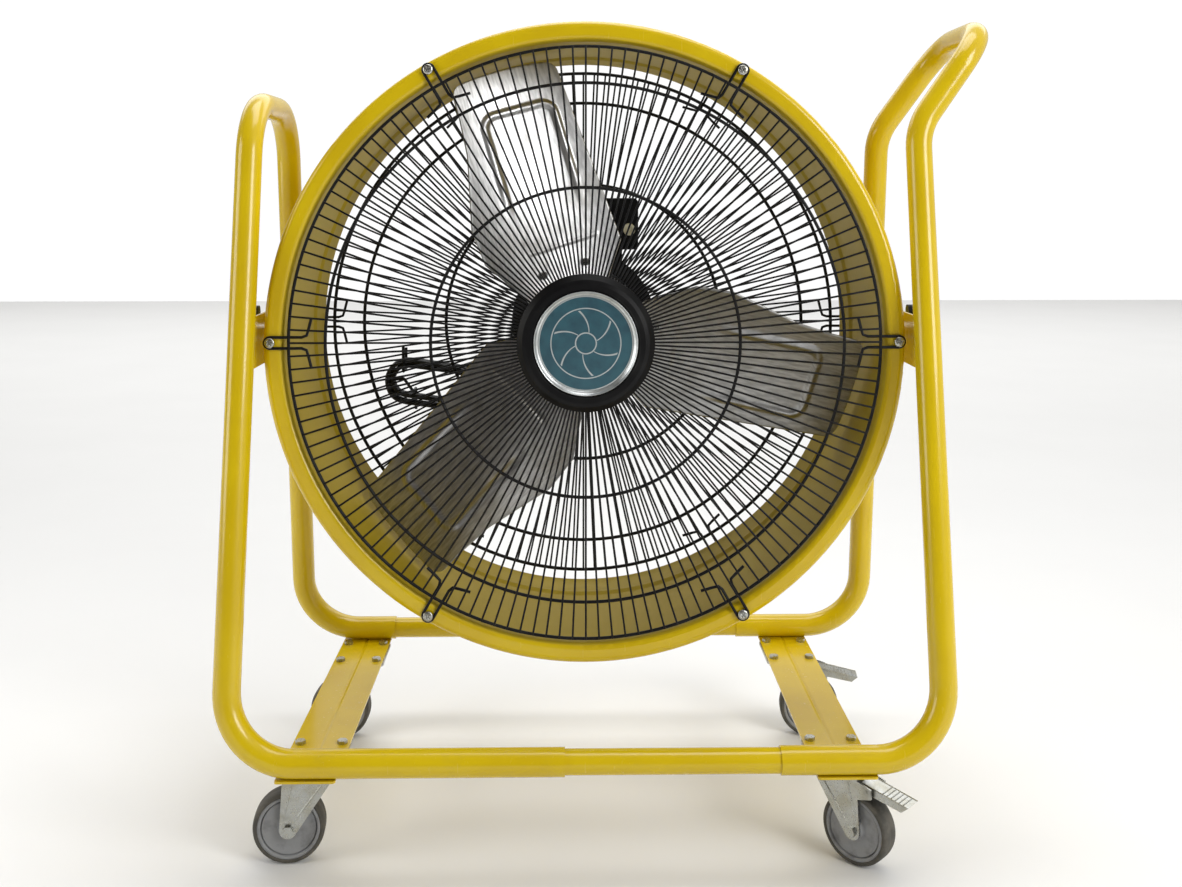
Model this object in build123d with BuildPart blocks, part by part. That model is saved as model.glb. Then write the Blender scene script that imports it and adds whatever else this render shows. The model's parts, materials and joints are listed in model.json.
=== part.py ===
"""Mobile drum fan: a three-blade fan in a steel drum that tilts in a tubular frame on four castors.

Frame of the part: X across the fan, to the right as seen from the air outlet, Y from the outlet to
the inlet, Z up.  The origin is on the floor, below the middle of the drum.  All sizes are in mm.
"""

from build123d import *
import os
from math import atan2, cos, degrees, radians, sin, sqrt

os.makedirs("parts", exist_ok=True)

# ---------------------------------------------------------------- driving sizes
# Bent steel tube of the two side frames
tube_d = 38.0
tube_wall = 2.0
bend_r = 95.0
handle_bend_r = 72.0
leg_x = 491.0
foot_y = 272.0
shoulder_y = 127.0
shoulder_z = 1030.0
loop_top_z = 1067.0
handle_x = 596.0
handle_y = 112.0
handle_z = 1177.0
left_front_end_x = -30.0
left_rear_end_x = -331.0
right_front_end_x = 263.0
right_rear_end_x = 272.0
sleeve_gap = 0.1
sleeve_length = 60.0

# Castors
castor_height = 140.0
castor_plate_x = 85.0
castor_plate_y = 105.0
castor_plate_t = 4.0
castor_hole_x = 60.0
castor_hole_y = 80.0
castor_bolt_r = 4.0
castor_y = 203.0
castor_left_x = -380.0
castor_right_x = 354.0
wheel_r = 50.0
wheel_width = 32.0
tread_t = 6.5
trail = 36.0
swivel_r = 34.0
kingpin_r = 6.0
axle_r = 4.0

# Cross plates that join the rails and carry the castors
cross_plate_width = 82.0
cross_plate_t = 3.0
cross_plate_over = 12.0

# Drum
axis_z = 717.0
shell_r = 439.0
rim_r = 467.0
drum_depth = 296.0
sheet_t = 2.0
rim_back = 22.0
rear_mouth_r = 431.0

# Guards
guard_wires = 140
wire_w = 2.7
rear_wire_w = 3.6
ring_w = 4.6
weld_depth = 0.6
front_ring_r = (430.0, 377.0, 225.0, 95.0)
rear_ring_r = (418.0, 368.0, 231.0, 115.0)
lug_count = 6
lug_half_gap = 8.0
guard_screw_r = 457.0
screw_head_r = 7.3
screw_shank_r = 2.5

# Tilt pivot
pivot_plate_x = 480.0
pivot_plate_t = 4.0
pivot_plate_half_height = 37.5
pivot_boss_r = 13.0
pivot_boss_out = 505.0
stud_r = 6.0
knob_length = 30.0
knob_r = 34.0

# Motor and fan
motor_r = 95.0
motor_wall = 6.0
motor_front_y = 40.0
motor_rear_y = 118.0
shaft_r = 11.95
bearing_r = 26.0
bearing_width = 12.0
fan_y = -12.0
blade_count = 3
first_blade_angle = 107.0
blade_tip_r = 428.0
blade_pitch = 24.0
blade_camber_r = 472.0
blade_t = 2.0
arm_t = 5.0
rivet_r = 3.0

# Control box on the motor plate's tongue
box_x = 27.0
box_width = 124.0
box_low_z = 841.0
box_height = 84.0
box_depth = 58.0
box_wall = 3.0
blank_x = 74.0
blank_z = 874.0
blank_r = 10.0

# Supply cord, its gland, the hank it is wound in and the hooks that carry the hank
cord_d = 8.0
gland_x = 10.0
gland_z = 886.0
gland_r = 9.0
gland_out = 24.0
coil_x = -258.0
coil_z = 610.0
coil_tilt = -8.0
coil_half_width = 74.0
coil_half_height = 27.0
coil_bundle = 18.0
coil_depth = 32.0
hook_r = 2.5

running_gap = 0.05
seat_gap = 0.1

# ---------------------------------------------------------------- worked-out places
rail_z = castor_height + cross_plate_t + tube_d / 2
half_depth = drum_depth / 2
shell_outer_r = shell_r + sheet_t / 2
castor_plate_z = castor_height - castor_plate_t
sides = {"left": -1, "right": 1}
castor_x = {"left": castor_left_x, "right": castor_right_x}
castor_rows = {"front": -castor_y, "rear": castor_y}
drum_axis = Axis((0, 0, axis_z), (0, 1, 0))


def leg_y(z):
    """Distance of a leg's centre line from the middle plane at height z."""
    return foot_y - (foot_y - shoulder_y) * (z - rail_z) / (shoulder_z - rail_z)


def finish(part, name):
    """Labels a finished piece and writes it to its own file."""
    part.label = name
    export_step(part, f"parts/{name}.step")


def front_plane(y):
    """A plane across the drum axis at depth y, looking out of the air outlet."""
    return Plane(origin=(0, y, axis_z), x_dir=(1, 0, 0), z_dir=(0, -1, 0))


def rear_plane(y):
    """A plane across the drum axis at depth y, looking out of the air inlet."""
    return Plane(origin=(0, y, axis_z), x_dir=(-1, 0, 0), z_dir=(0, 1, 0))


def profile_plane():
    """The half-plane in which a profile turned about the drum axis is drawn: x is the radius, y is depth."""
    return Plane(origin=(0, 0, axis_z), x_dir=(1, 0, 0), z_dir=(0, 0, 1))


# ---------------------------------------------------------------- side frames
# Each side is one bent tube: rail stub, leg, top, leg, rail stub.  The right one leans out at its
# shoulders and makes the push handle.
top_y = leg_y(loop_top_z)
left_route = [
    (left_front_end_x, -foot_y, rail_z),
    (-leg_x, -foot_y, rail_z),
    (-leg_x, -top_y, loop_top_z),
    (-leg_x, top_y, loop_top_z),
    (-leg_x, foot_y, rail_z),
    (left_rear_end_x, foot_y, rail_z),
]
right_route = [
    (right_front_end_x, -foot_y, rail_z),
    (leg_x, -foot_y, rail_z),
    (leg_x, -shoulder_y, shoulder_z),
    (handle_x, -handle_y, handle_z),
    (handle_x, handle_y, handle_z),
    (leg_x, shoulder_y, shoulder_z),
    (leg_x, foot_y, rail_z),
    (right_rear_end_x, foot_y, rail_z),
]
right_radii = [bend_r, bend_r, handle_bend_r, handle_bend_r, bend_r, bend_r]

with BuildPart() as side_frame_left:
    with BuildLine() as left_line:
        FilletPolyline(*left_route, radius=bend_r)
    with BuildSketch(Plane(origin=left_line.line @ 0, z_dir=left_line.line % 0)):
        Circle(tube_d / 2)
        Circle(tube_d / 2 - tube_wall, mode=Mode.SUBTRACT)
    sweep()
finish(side_frame_left.part, "side_frame_left")

with BuildPart() as side_frame_right:
    with BuildLine() as right_line:
        FilletPolyline(*right_route, radius=right_radii)
    with BuildSketch(Plane(origin=right_line.line @ 0, z_dir=right_line.line % 0)):
        Circle(tube_d / 2)
        Circle(tube_d / 2 - tube_wall, mode=Mode.SUBTRACT)
    sweep()
finish(side_frame_right.part, "side_frame_right")

# ---------------------------------------------------------------- cross tubes
# Straight tubes that slide into the rail stubs, one in front and one at the rear.
cross_tube_r = tube_d / 2 - tube_wall - sleeve_gap
cross_spans = {
    "front": (left_front_end_x, right_front_end_x, -foot_y),
    "rear": (left_rear_end_x, right_rear_end_x, foot_y),
}
for row, (from_x, to_x, y) in cross_spans.items():
    with BuildPart() as cross_tube:
        with BuildSketch(Plane(origin=(from_x - sleeve_length, y, rail_z), z_dir=(1, 0, 0))):
            Circle(cross_tube_r)
            Circle(cross_tube_r - tube_wall, mode=Mode.SUBTRACT)
        extrude(amount=to_x - from_x + 2 * sleeve_length)
    finish(cross_tube.part, f"{row}_cross_tube")

# ---------------------------------------------------------------- pivot plates
# A plate welded between the two legs of each side, with a boss that the drum's stud turns in.
leg_direction = Vector(0, foot_y - shoulder_y, shoulder_z - rail_z).normalized()
for side, sign in sides.items():
    with BuildPart() as pivot_plate:
        low = axis_z - pivot_plate_half_height
        high = axis_z + pivot_plate_half_height
        with BuildSketch(Plane(origin=(sign * pivot_plate_x, 0, 0), x_dir=(0, sign, 0), z_dir=(sign, 0, 0))):
            Polygon(
                (-leg_y(low), low),
                (leg_y(low), low),
                (leg_y(high), high),
                (-leg_y(high), high),
                align=None,
            )
        extrude(amount=pivot_plate_t)
        for end in (-1, 1):
            foot = (sign * leg_x, end * foot_y, rail_z)
            along = (0, -end * leg_direction.Y, leg_direction.Z)
            with Locations(Plane(origin=foot, z_dir=along)):
                Cylinder(
                    tube_d / 2 + running_gap,
                    shoulder_z - rail_z,
                    align=(Align.CENTER, Align.CENTER, Align.MIN),
                    mode=Mode.SUBTRACT,
                )
        pivot_face = Plane(origin=(sign * (pivot_plate_x + pivot_plate_t), 0, axis_z), z_dir=(sign, 0, 0))
        with BuildSketch(pivot_face):
            Circle(pivot_boss_r)
        extrude(amount=pivot_boss_out - pivot_plate_x - pivot_plate_t)
        with BuildSketch(pivot_face):
            Circle(stud_r + running_gap)
        extrude(amount=pivot_boss_out - pivot_plate_x, both=True, mode=Mode.SUBTRACT)
    finish(pivot_plate.part, f"pivot_plate_{side}")

# ---------------------------------------------------------------- cross plates
# A flat plate under both rails on each side, with a pressed groove down its middle.
groove_width = 7.0
groove_depth = 1.2
for side, x in castor_x.items():
    with BuildPart() as cross_plate:
        with BuildSketch(Plane(origin=(x, 0, castor_height))):
            RectangleRounded(cross_plate_width, 2 * (foot_y + cross_plate_over), 4)
            for y in castor_rows.values():
                with Locations((0, y)):
                    with GridLocations(castor_hole_x, castor_hole_y, 2, 2):
                        Circle(castor_bolt_r + seat_gap, mode=Mode.SUBTRACT)
        extrude(amount=cross_plate_t)
        with BuildSketch(Plane(origin=(x, 0, castor_height + cross_plate_t), x_dir=(1, 0, 0), z_dir=(0, -1, 0))):
            Polygon((-groove_width / 2, 0), (groove_width / 2, 0), (0, -groove_depth), align=None)
        extrude(amount=foot_y, both=True, mode=Mode.SUBTRACT)
    finish(cross_plate.part, f"cross_plate_{side}")

# ---------------------------------------------------------------- castor plates, kingpins, bolts
swivel_gap = 0.3
fork_top_z = castor_plate_z - swivel_gap
fork_plate_z = 123.0
fork_plate_t = 4.0
kingpin_head_t = 5.0
kingpin_head_r = 11.0
castor_spots = [(x, y) for x in castor_x.values() for y in castor_rows.values()]

with BuildPart() as castor_plates:
    with BuildSketch(Plane.XY.offset(castor_plate_z)):
        with Locations(*castor_spots):
            RectangleRounded(castor_plate_x, castor_plate_y, 9)
            Circle(kingpin_r + seat_gap, mode=Mode.SUBTRACT)
            with GridLocations(castor_hole_x, castor_hole_y, 2, 2):
                Circle(castor_bolt_r + seat_gap, mode=Mode.SUBTRACT)
    extrude(amount=castor_plate_t)
finish(castor_plates.part, "castor_plates")

with BuildPart() as castor_kingpins:
    with BuildSketch(Plane.XY.offset(fork_plate_z - swivel_gap)):
        with Locations(*castor_spots):
            Circle(kingpin_r)
    extrude(amount=castor_height - fork_plate_z + swivel_gap)
    with BuildSketch(Plane.XY.offset(fork_plate_z - swivel_gap)):
        with Locations(*castor_spots):
            Circle(kingpin_head_r)
    extrude(amount=-kingpin_head_t)
finish(castor_kingpins.part, "castor_kingpins")

bolt_head_t = 5.0
bolt_hex_r = 6.5
nut_t = 6.0
with BuildPart() as castor_bolts:
    with BuildSketch(Plane.XY.offset(castor_height + cross_plate_t)):
        with Locations(*castor_spots):
            with GridLocations(castor_hole_x, castor_hole_y, 2, 2):
                RegularPolygon(bolt_hex_r, 6, major_radius=False)
    extrude(amount=bolt_head_t)
    with BuildSketch(Plane.XY.offset(castor_height + cross_plate_t)):
        with Locations(*castor_spots):
            with GridLocations(castor_hole_x, castor_hole_y, 2, 2):
                Circle(castor_bolt_r)
    extrude(amount=-(cross_plate_t + castor_plate_t + nut_t + 1))
    with BuildSketch(Plane.XY.offset(castor_plate_z)):
        with Locations(*castor_spots):
            with GridLocations(castor_hole_x, castor_hole_y, 2, 2):
                RegularPolygon(bolt_hex_r, 6, major_radius=False)
                Circle(castor_bolt_r + running_gap, mode=Mode.SUBTRACT)
    extrude(amount=-nut_t)
finish(castor_bolts.part, "castor_bolts")

# ---------------------------------------------------------------- castors
# A pressed fork that swivels on the kingpin, an axle bolt, and a wheel with a rubber tread.  The two
# right castors have a foot brake: a pedal pinned between the lugs of a longer fork.
fork_inside = wheel_width / 2 + 2.5
fork_t = 3.0
fork_front = 44.0
axle_eye_r = 12.0
hub_half_width = fork_inside - 0.5
pedal_pin = (58.0, 110.0)
pedal_pin_r = 3.0
pedal_half_width = 15.0
pedal_t = 2.5
pedal_from = 48.0
pedal_to = 118.0
pedal_top = 119.0
pedal_drop = 15.0
pedal_depth = 12.0
castor_turn = {
    ("front", "left"): 185.0,
    ("rear", "left"): 178.0,
    ("front", "right"): -42.0,
    ("rear", "right"): -6.0,
}


def castor_plane(spot, turn):
    """The wheel's middle plane: x runs from the swivel towards the wheel, y is up, from the floor."""
    ahead = (cos(radians(turn)), sin(radians(turn)), 0)
    across = (sin(radians(turn)), -cos(radians(turn)), 0)
    return Plane(origin=(spot[0], spot[1], 0), x_dir=ahead, z_dir=across)


for (row, side), turn in castor_turn.items():
    spot = (castor_x[side], castor_rows[row])
    plane = castor_plane(spot, turn)
    where = f"{row}_{side}"
    braked = side == "right"

    with BuildPart() as fork:
        with BuildSketch(Plane(origin=(*spot, fork_plate_z), x_dir=plane.x_dir, z_dir=(0, 0, 1))):
            Circle(swivel_r)
            with Locations((fork_front / 2, 0)):
                Rectangle(fork_front, 2 * (fork_inside + fork_t))
        extrude(amount=fork_plate_t)
        with BuildSketch(Plane(origin=(*spot, fork_plate_z + fork_plate_t))):
            Circle(swivel_r - 4)
        extrude(amount=fork_top_z - fork_plate_z - fork_plate_t, taper=12)
        for face in (-1, 1):
            with BuildSketch(plane.offset(face * (fork_inside + fork_t / 2))):
                with BuildLine():
                    Polyline(
                        (-26, fork_plate_z + fork_plate_t),
                        (-26, fork_plate_z - 4),
                        (trail - axle_eye_r + 1, wheel_r - 5),
                        (trail + axle_eye_r, wheel_r),
                        (fork_front, fork_plate_z + fork_plate_t),
                        (-26, fork_plate_z + fork_plate_t),
                    )
                make_face()
                with Locations((trail, wheel_r)):
                    Circle(axle_eye_r)
                    Circle(axle_r + running_gap, mode=Mode.SUBTRACT)
                if braked:
                    with BuildLine():
                        Polyline(
                            (fork_front - 4, fork_plate_z),
                            (pedal_pin[0] + 8, pedal_pin[1] + 5),
                            (pedal_pin[0] + 8, pedal_pin[1] - 8),
                            (fork_front, pedal_pin[1] - 14),
                            (fork_front - 4, fork_plate_z),
                        )
                    make_face()
                    with Locations(pedal_pin):
                        Circle(pedal_pin_r + running_gap, mode=Mode.SUBTRACT)
            extrude(amount=fork_t / 2, both=True)
        with BuildSketch(Plane(origin=(*spot, 0))):
            Circle(kingpin_r + running_gap)
        extrude(amount=castor_height, mode=Mode.SUBTRACT)
    finish(fork.part, f"castor_fork_{where}")

    axle_plane = Plane(origin=plane.from_local_coords((trail, wheel_r, 0)), x_dir=plane.x_dir, z_dir=plane.z_dir)
    fork_outside = fork_inside + fork_t
    with BuildPart() as axle:
        with BuildSketch(axle_plane):
            Circle(axle_r)
        extrude(amount=fork_outside + seat_gap, both=True)
        for face in (-1, 1):
            with BuildSketch(axle_plane.offset(face * (fork_outside + seat_gap))):
                RegularPolygon(bolt_hex_r, 6, major_radius=False)
            extrude(amount=face * bolt_head_t)
    finish(axle.part, f"castor_axle_{where}")

    wheel_plane = Plane(origin=axle_plane.origin, x_dir=plane.x_dir, z_dir=(0, 0, 1))
    wheel_axis = Axis(axle_plane.origin, axle_plane.z_dir)
    tread_r = wheel_r - tread_t
    half_width = wheel_width / 2
    with BuildPart() as wheel_hub:
        with BuildSketch(wheel_plane):
            Polygon(
                (axle_r + running_gap, -hub_half_width),
                (13, -hub_half_width),
                (15, -11),
                (36, -13),
                (36, -15),
                (tread_r, -15),
                (tread_r, 15),
                (36, 15),
                (36, 13),
                (15, 11),
                (13, hub_half_width),
                (axle_r + running_gap, hub_half_width),
                align=None,
            )
        revolve(axis=wheel_axis)
    finish(wheel_hub.part, f"wheel_hub_{where}")

    with BuildPart() as wheel_tread:
        with BuildSketch(wheel_plane):
            with Locations((tread_r + tread_t / 2, 0)):
                Rectangle(tread_t, wheel_width)
        revolve(axis=wheel_axis)
        rim_edges = wheel_tread.edges().filter_by(GeomType.CIRCLE).filter_by(lambda e: e.radius > wheel_r - 1)
        fillet(rim_edges, 4.5)
    finish(wheel_tread.part, f"wheel_tread_{where}")

    if braked:
        with BuildPart() as pedal:
            with BuildSketch(plane):
                Polygon(
                    (pedal_from, pedal_top),
                    (pedal_from, pedal_top - pedal_depth),
                    (pedal_to - 10, pedal_top - pedal_drop - pedal_depth + 4),
                    (pedal_to, pedal_top - pedal_drop),
                    align=None,
                )
            extrude(amount=pedal_half_width, both=True)
            with BuildSketch(plane):
                Polygon(
                    (pedal_from - 1, pedal_top - pedal_t),
                    (pedal_from - 1, pedal_top - 2 * pedal_depth),
                    (pedal_to, pedal_top - pedal_drop - 2 * pedal_depth),
                    (pedal_to - pedal_t, pedal_top - pedal_drop - pedal_t),
                    align=None,
                )
            extrude(amount=pedal_half_width - pedal_t, both=True, mode=Mode.SUBTRACT)
            with BuildSketch(plane):
                with Locations(pedal_pin):
                    Circle(pedal_pin_r)
            extrude(amount=fork_outside + 1, both=True)
        finish(pedal.part, f"brake_pedal_{where}")

# ---------------------------------------------------------------- drum shell
# Rolled sheet steel with a channel rim at each mouth and a rolled ridge near the inlet.
ridge_y = 82.0
ridge_in = 5.0
rim_lip_r = 449.0
screw_spots = [(guard_screw_r * cos(radians(60 * i)), guard_screw_r * sin(radians(60 * i))) for i in range(lug_count)]
with BuildPart() as drum_shell:
    with BuildSketch(profile_plane()):
        with BuildLine() as shell_line:
            FilletPolyline(
                (rim_lip_r, -half_depth + rim_back),
                (rim_r, -half_depth + rim_back),
                (rim_r, -half_depth + sheet_t / 2),
                (shell_r, -half_depth + sheet_t / 2),
                (shell_r, ridge_y - 9),
                (shell_r - ridge_in, ridge_y),
                (shell_r - ridge_in / 4, ridge_y + 11),
                (rear_mouth_r, half_depth - sheet_t / 2),
                (rim_r, half_depth - sheet_t / 2),
                (rim_r, half_depth - rim_back),
                (rim_lip_r, half_depth - rim_back),
                radius=[8, 9, 9, 7, 5, 7, 8, 9, 8],
            )
        trace(shell_line.line, line_width=sheet_t)
    revolve(axis=drum_axis)
    with BuildSketch(front_plane(0)):
        with Locations(*screw_spots):
            Circle(screw_shank_r + seat_gap)
    extrude(amount=half_depth + 1, both=True, mode=Mode.SUBTRACT)
finish(drum_shell.part, "drum_shell")

# ---------------------------------------------------------------- guards
# Radial wires welded to round rings, and six hairpin lugs that the rim screws clamp.
guard_gap = 0.2
lug_bend_r = 406.0
lug_end_r = 397.0
lug_end_out = 36.0


def lug_outline():
    """Half-open hairpin: an eye round the screw, two legs, and their ends bent sideways."""
    FilletPolyline(
        (lug_end_r, lug_end_out),
        (lug_bend_r, lug_half_gap),
        (guard_screw_r, lug_half_gap),
        radius=6,
    )
    ThreePointArc(
        (guard_screw_r, lug_half_gap), (guard_screw_r + lug_half_gap, 0), (guard_screw_r, -lug_half_gap)
    )
    FilletPolyline(
        (guard_screw_r, -lug_half_gap),
        (lug_bend_r, -lug_half_gap),
        (lug_end_r, -lug_end_out),
        radius=6,
    )


with BuildLine(Plane.XY) as lug_line:
    lug_outline()
with BuildSketch(Plane.XY) as lug_sketch:
    trace(lug_line.line, line_width=wire_w)


def make_guard(plane, rings, wire):
    """One welded guard, standing out from a plane at the rim's face."""
    with BuildPart() as guard:
        with BuildSketch(plane):
            for ring in rings:
                Circle(ring + ring_w / 2)
                Circle(ring - ring_w / 2, mode=Mode.SUBTRACT)
        extrude(amount=ring_w)
        with BuildSketch(plane.offset(ring_w - weld_depth)):
            with PolarLocations(0, guard_wires):
                with Locations(((rings[0] + rings[-1]) / 2, 0)):
                    Rectangle(rings[0] - rings[-1], wire)
        extrude(amount=wire)
        with BuildSketch(plane):
            with PolarLocations(0, lug_count):
                add(lug_sketch.sketch)
        extrude(amount=wire_w)
    return guard.part


front_guard_y = -half_depth - guard_gap
rear_guard_y = half_depth + guard_gap
finish(make_guard(front_plane(front_guard_y), front_ring_r, wire_w), "front_guard")
with BuildPart() as rear_guard:
    add(make_guard(rear_plane(rear_guard_y), rear_ring_r, rear_wire_w))
    with Locations(Plane(origin=(gland_x, rear_guard_y, gland_z), z_dir=(0, 1, 0))):
        Cylinder(gland_r + 3, 60, mode=Mode.SUBTRACT)
finish(rear_guard.part, "rear_guard")

screw_head_t = 3.6
with BuildPart() as guard_screws:
    for plane in (front_plane(front_guard_y), rear_plane(rear_guard_y)):
        with BuildSketch(plane.offset(wire_w)):
            with Locations(*screw_spots):
                Circle(screw_head_r)
        extrude(amount=screw_head_t, taper=20)
        with BuildSketch(plane.offset(wire_w)):
            with Locations(*screw_spots):
                Circle(screw_shank_r)
        extrude(amount=-12)
finish(guard_screws.part, "guard_screws")

# ---------------------------------------------------------------- hub cap and badge
hub_cap_r = 100.0
hub_cap_t = 15.0
cup_r = 76.0
badge_r = 70.0
cap_y = front_guard_y - ring_w + weld_depth - wire_w - seat_gap
with BuildPart() as hub_cap:
    with BuildSketch(profile_plane()):
        with BuildLine():
            Polyline(
                (0, cap_y),
                (hub_cap_r, cap_y),
                (hub_cap_r, cap_y - 5),
                (hub_cap_r - 8, cap_y - hub_cap_t + 2),
                (hub_cap_r - 14, cap_y - hub_cap_t),
                (cup_r + 3, cap_y - hub_cap_t),
                (cup_r, cap_y - hub_cap_t + 3),
                (badge_r + 1, cap_y - 4),
                (0, cap_y - 4),
                (0, cap_y),
            )
        make_face()
    revolve(axis=drum_axis)
finish(hub_cap.part, "hub_cap")

with BuildPart() as badge:
    with BuildSketch(front_plane(cap_y - 4)):
        Circle(badge_r)
    extrude(amount=4)
    fillet(badge.faces().sort_by(Axis.Y)[0].edges(), 2)
finish(badge.part, "badge")

# ---------------------------------------------------------------- motor
# Finned housing between two end bells, hung on a plate that is welded to the rear guard's inner ring.
plate_r = 120.0
plate_t = 4.0
plate_y = rear_guard_y - plate_t
bell_t = plate_y - motor_rear_y
front_bell_y = 26.0
fins = 24
fin_height = 5.0
tongue_width = 76.0
with BuildPart() as motor_plate:
    with BuildSketch(rear_plane(plate_y)):
        Circle(plate_r)
        with Locations((-box_x, 0)):
            Rectangle(tongue_width, box_low_z + box_height - axis_z, align=(Align.CENTER, Align.MIN))
        with Locations((-gland_x, gland_z - axis_z)):
            Circle(gland_r + seat_gap, mode=Mode.SUBTRACT)
        Circle(30, mode=Mode.SUBTRACT)
        with PolarLocations(85, 4, start_angle=45):
            Circle(3 + seat_gap, mode=Mode.SUBTRACT)
        with PolarLocations(55, 6):
            Circle(9, mode=Mode.SUBTRACT)
    extrude(amount=plate_t)
finish(motor_plate.part, "motor_plate")

with BuildPart() as motor_housing:
    with BuildSketch(rear_plane(motor_front_y)):
        Circle(motor_r - fin_height)
        with PolarLocations(motor_r - fin_height / 2 - 1, fins):
            Rectangle(fin_height + 2, 3.5)
        Circle(motor_r - fin_height - motor_wall, mode=Mode.SUBTRACT)
    extrude(amount=motor_rear_y - motor_front_y)
finish(motor_housing.part, "motor_housing")

bell_wall = 5.0
with BuildPart() as motor_rear_bell:
    with BuildSketch(rear_plane(motor_rear_y)):
        Circle(motor_r - 1)
    extrude(amount=bell_t)
    with BuildSketch(rear_plane(motor_rear_y)):
        Circle(motor_r - fin_height - motor_wall)
        Circle(bearing_r + 6, mode=Mode.SUBTRACT)
    extrude(amount=bell_t - bell_wall, mode=Mode.SUBTRACT)
    with BuildSketch(rear_plane(motor_rear_y)):
        Circle(bearing_r)
    extrude(amount=bell_t - bell_wall, mode=Mode.SUBTRACT)
    with BuildSketch(rear_plane(plate_y)):
        with PolarLocations(85, 4, start_angle=45):
            Circle(3)
    extrude(amount=-12, mode=Mode.SUBTRACT)
finish(motor_rear_bell.part, "motor_rear_bell")

with BuildPart() as motor_front_bell:
    with BuildSketch(front_plane(motor_front_y)):
        Circle(motor_r - 1)
    extrude(amount=motor_front_y - front_bell_y, taper=15)
    with BuildSketch(front_plane(motor_front_y)):
        Circle(bearing_r)
    extrude(amount=bearing_width, mode=Mode.SUBTRACT)
    with BuildSketch(front_plane(motor_front_y)):
        Circle(shaft_r + 1)
    extrude(amount=motor_front_y, mode=Mode.SUBTRACT)
finish(motor_front_bell.part, "motor_front_bell")

rear_bearing_y = motor_rear_y + 2
with BuildPart() as motor_bearings:
    for y in (motor_front_y - bearing_width, rear_bearing_y):
        with BuildSketch(rear_plane(y)):
            Circle(bearing_r - running_gap)
            Circle(shaft_r + running_gap, mode=Mode.SUBTRACT)
        extrude(amount=bearing_width)
finish(motor_bearings.part, "motor_bearings")

stator_r = motor_r - fin_height - motor_wall
rotor_r = 55.0
air_gap = 0.5
core_front_y = motor_front_y + 12
core_rear_y = motor_rear_y - 12
with BuildPart() as stator_core:
    with BuildSketch(rear_plane(core_front_y)):
        Circle(stator_r - seat_gap)
        Circle(rotor_r + air_gap, mode=Mode.SUBTRACT)
    extrude(amount=core_rear_y - core_front_y)
    for y in (core_front_y - 9, core_rear_y):
        with BuildSketch(rear_plane(y)):
            Circle(stator_r - 6)
            Circle(rotor_r + 6, mode=Mode.SUBTRACT)
        extrude(amount=9)
finish(stator_core.part, "stator_core")

with BuildPart() as motor_bolts:
    with BuildSketch(rear_plane(plate_y - 10)):
        with PolarLocations(85, 4, start_angle=45):
            Circle(3 - running_gap)
    extrude(amount=10 + plate_t)
    with BuildSketch(rear_plane(plate_y + plate_t)):
        with PolarLocations(85, 4, start_angle=45):
            RegularPolygon(5, 6, major_radius=False)
    extrude(amount=4)
finish(motor_bolts.part, "motor_bolts")

# ---------------------------------------------------------------- shaft, rotor and fan
hub_r = 36.0
hub_front_y = -40.0
hub_rear_y = 8.0
shaft_front_y = -46.0
arm_from_r = 28.0
arm_to_r = 128.0
arm_half_width = 47.0
with BuildPart() as motor_shaft:
    with BuildSketch(rear_plane(shaft_front_y)):
        Circle(shaft_r)
    extrude(amount=rear_bearing_y + bearing_width - shaft_front_y)
    chamfer(motor_shaft.faces().sort_by(Axis.Y)[0].edges(), 1)
finish(motor_shaft.part, "motor_shaft")

with BuildPart() as rotor_core:
    with BuildSketch(rear_plane(core_front_y)):
        Circle(rotor_r)
        Circle(shaft_r + running_gap, mode=Mode.SUBTRACT)
    extrude(amount=core_rear_y - core_front_y)
finish(rotor_core.part, "rotor_core")


def radial_plane(angle):
    """Drawing plane for a blade's outline: x runs out along the blade, y across it."""
    return Plane(
        origin=(0, 0, axis_z), x_dir=(cos(radians(angle)), 0, sin(radians(angle))), z_dir=(0, -1, 0)
    )


def section_plane(angle, radius):
    """Plane across a blade at a radius: x runs across the blade, y towards the air outlet."""
    out = Vector(cos(radians(angle)), 0, sin(radians(angle)))
    across = Vector(-sin(radians(angle)), 0, cos(radians(angle)))
    return Plane(origin=Vector(0, 0, axis_z) + out * radius, x_dir=across, z_dir=out)


def camber_strip(inner, outer):
    """Sketch of a curved sheet in section, between two distances in front of the blade's middle."""
    pitch = radians(blade_pitch)
    centre = (-blade_camber_r * sin(pitch), -fan_y + blade_camber_r * cos(pitch))
    with Locations(centre):
        Circle(blade_camber_r - inner)
        Circle(blade_camber_r - outer, mode=Mode.SUBTRACT)
    with Locations((0, -fan_y)):
        Rectangle(280, 170, mode=Mode.INTERSECT)


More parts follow.
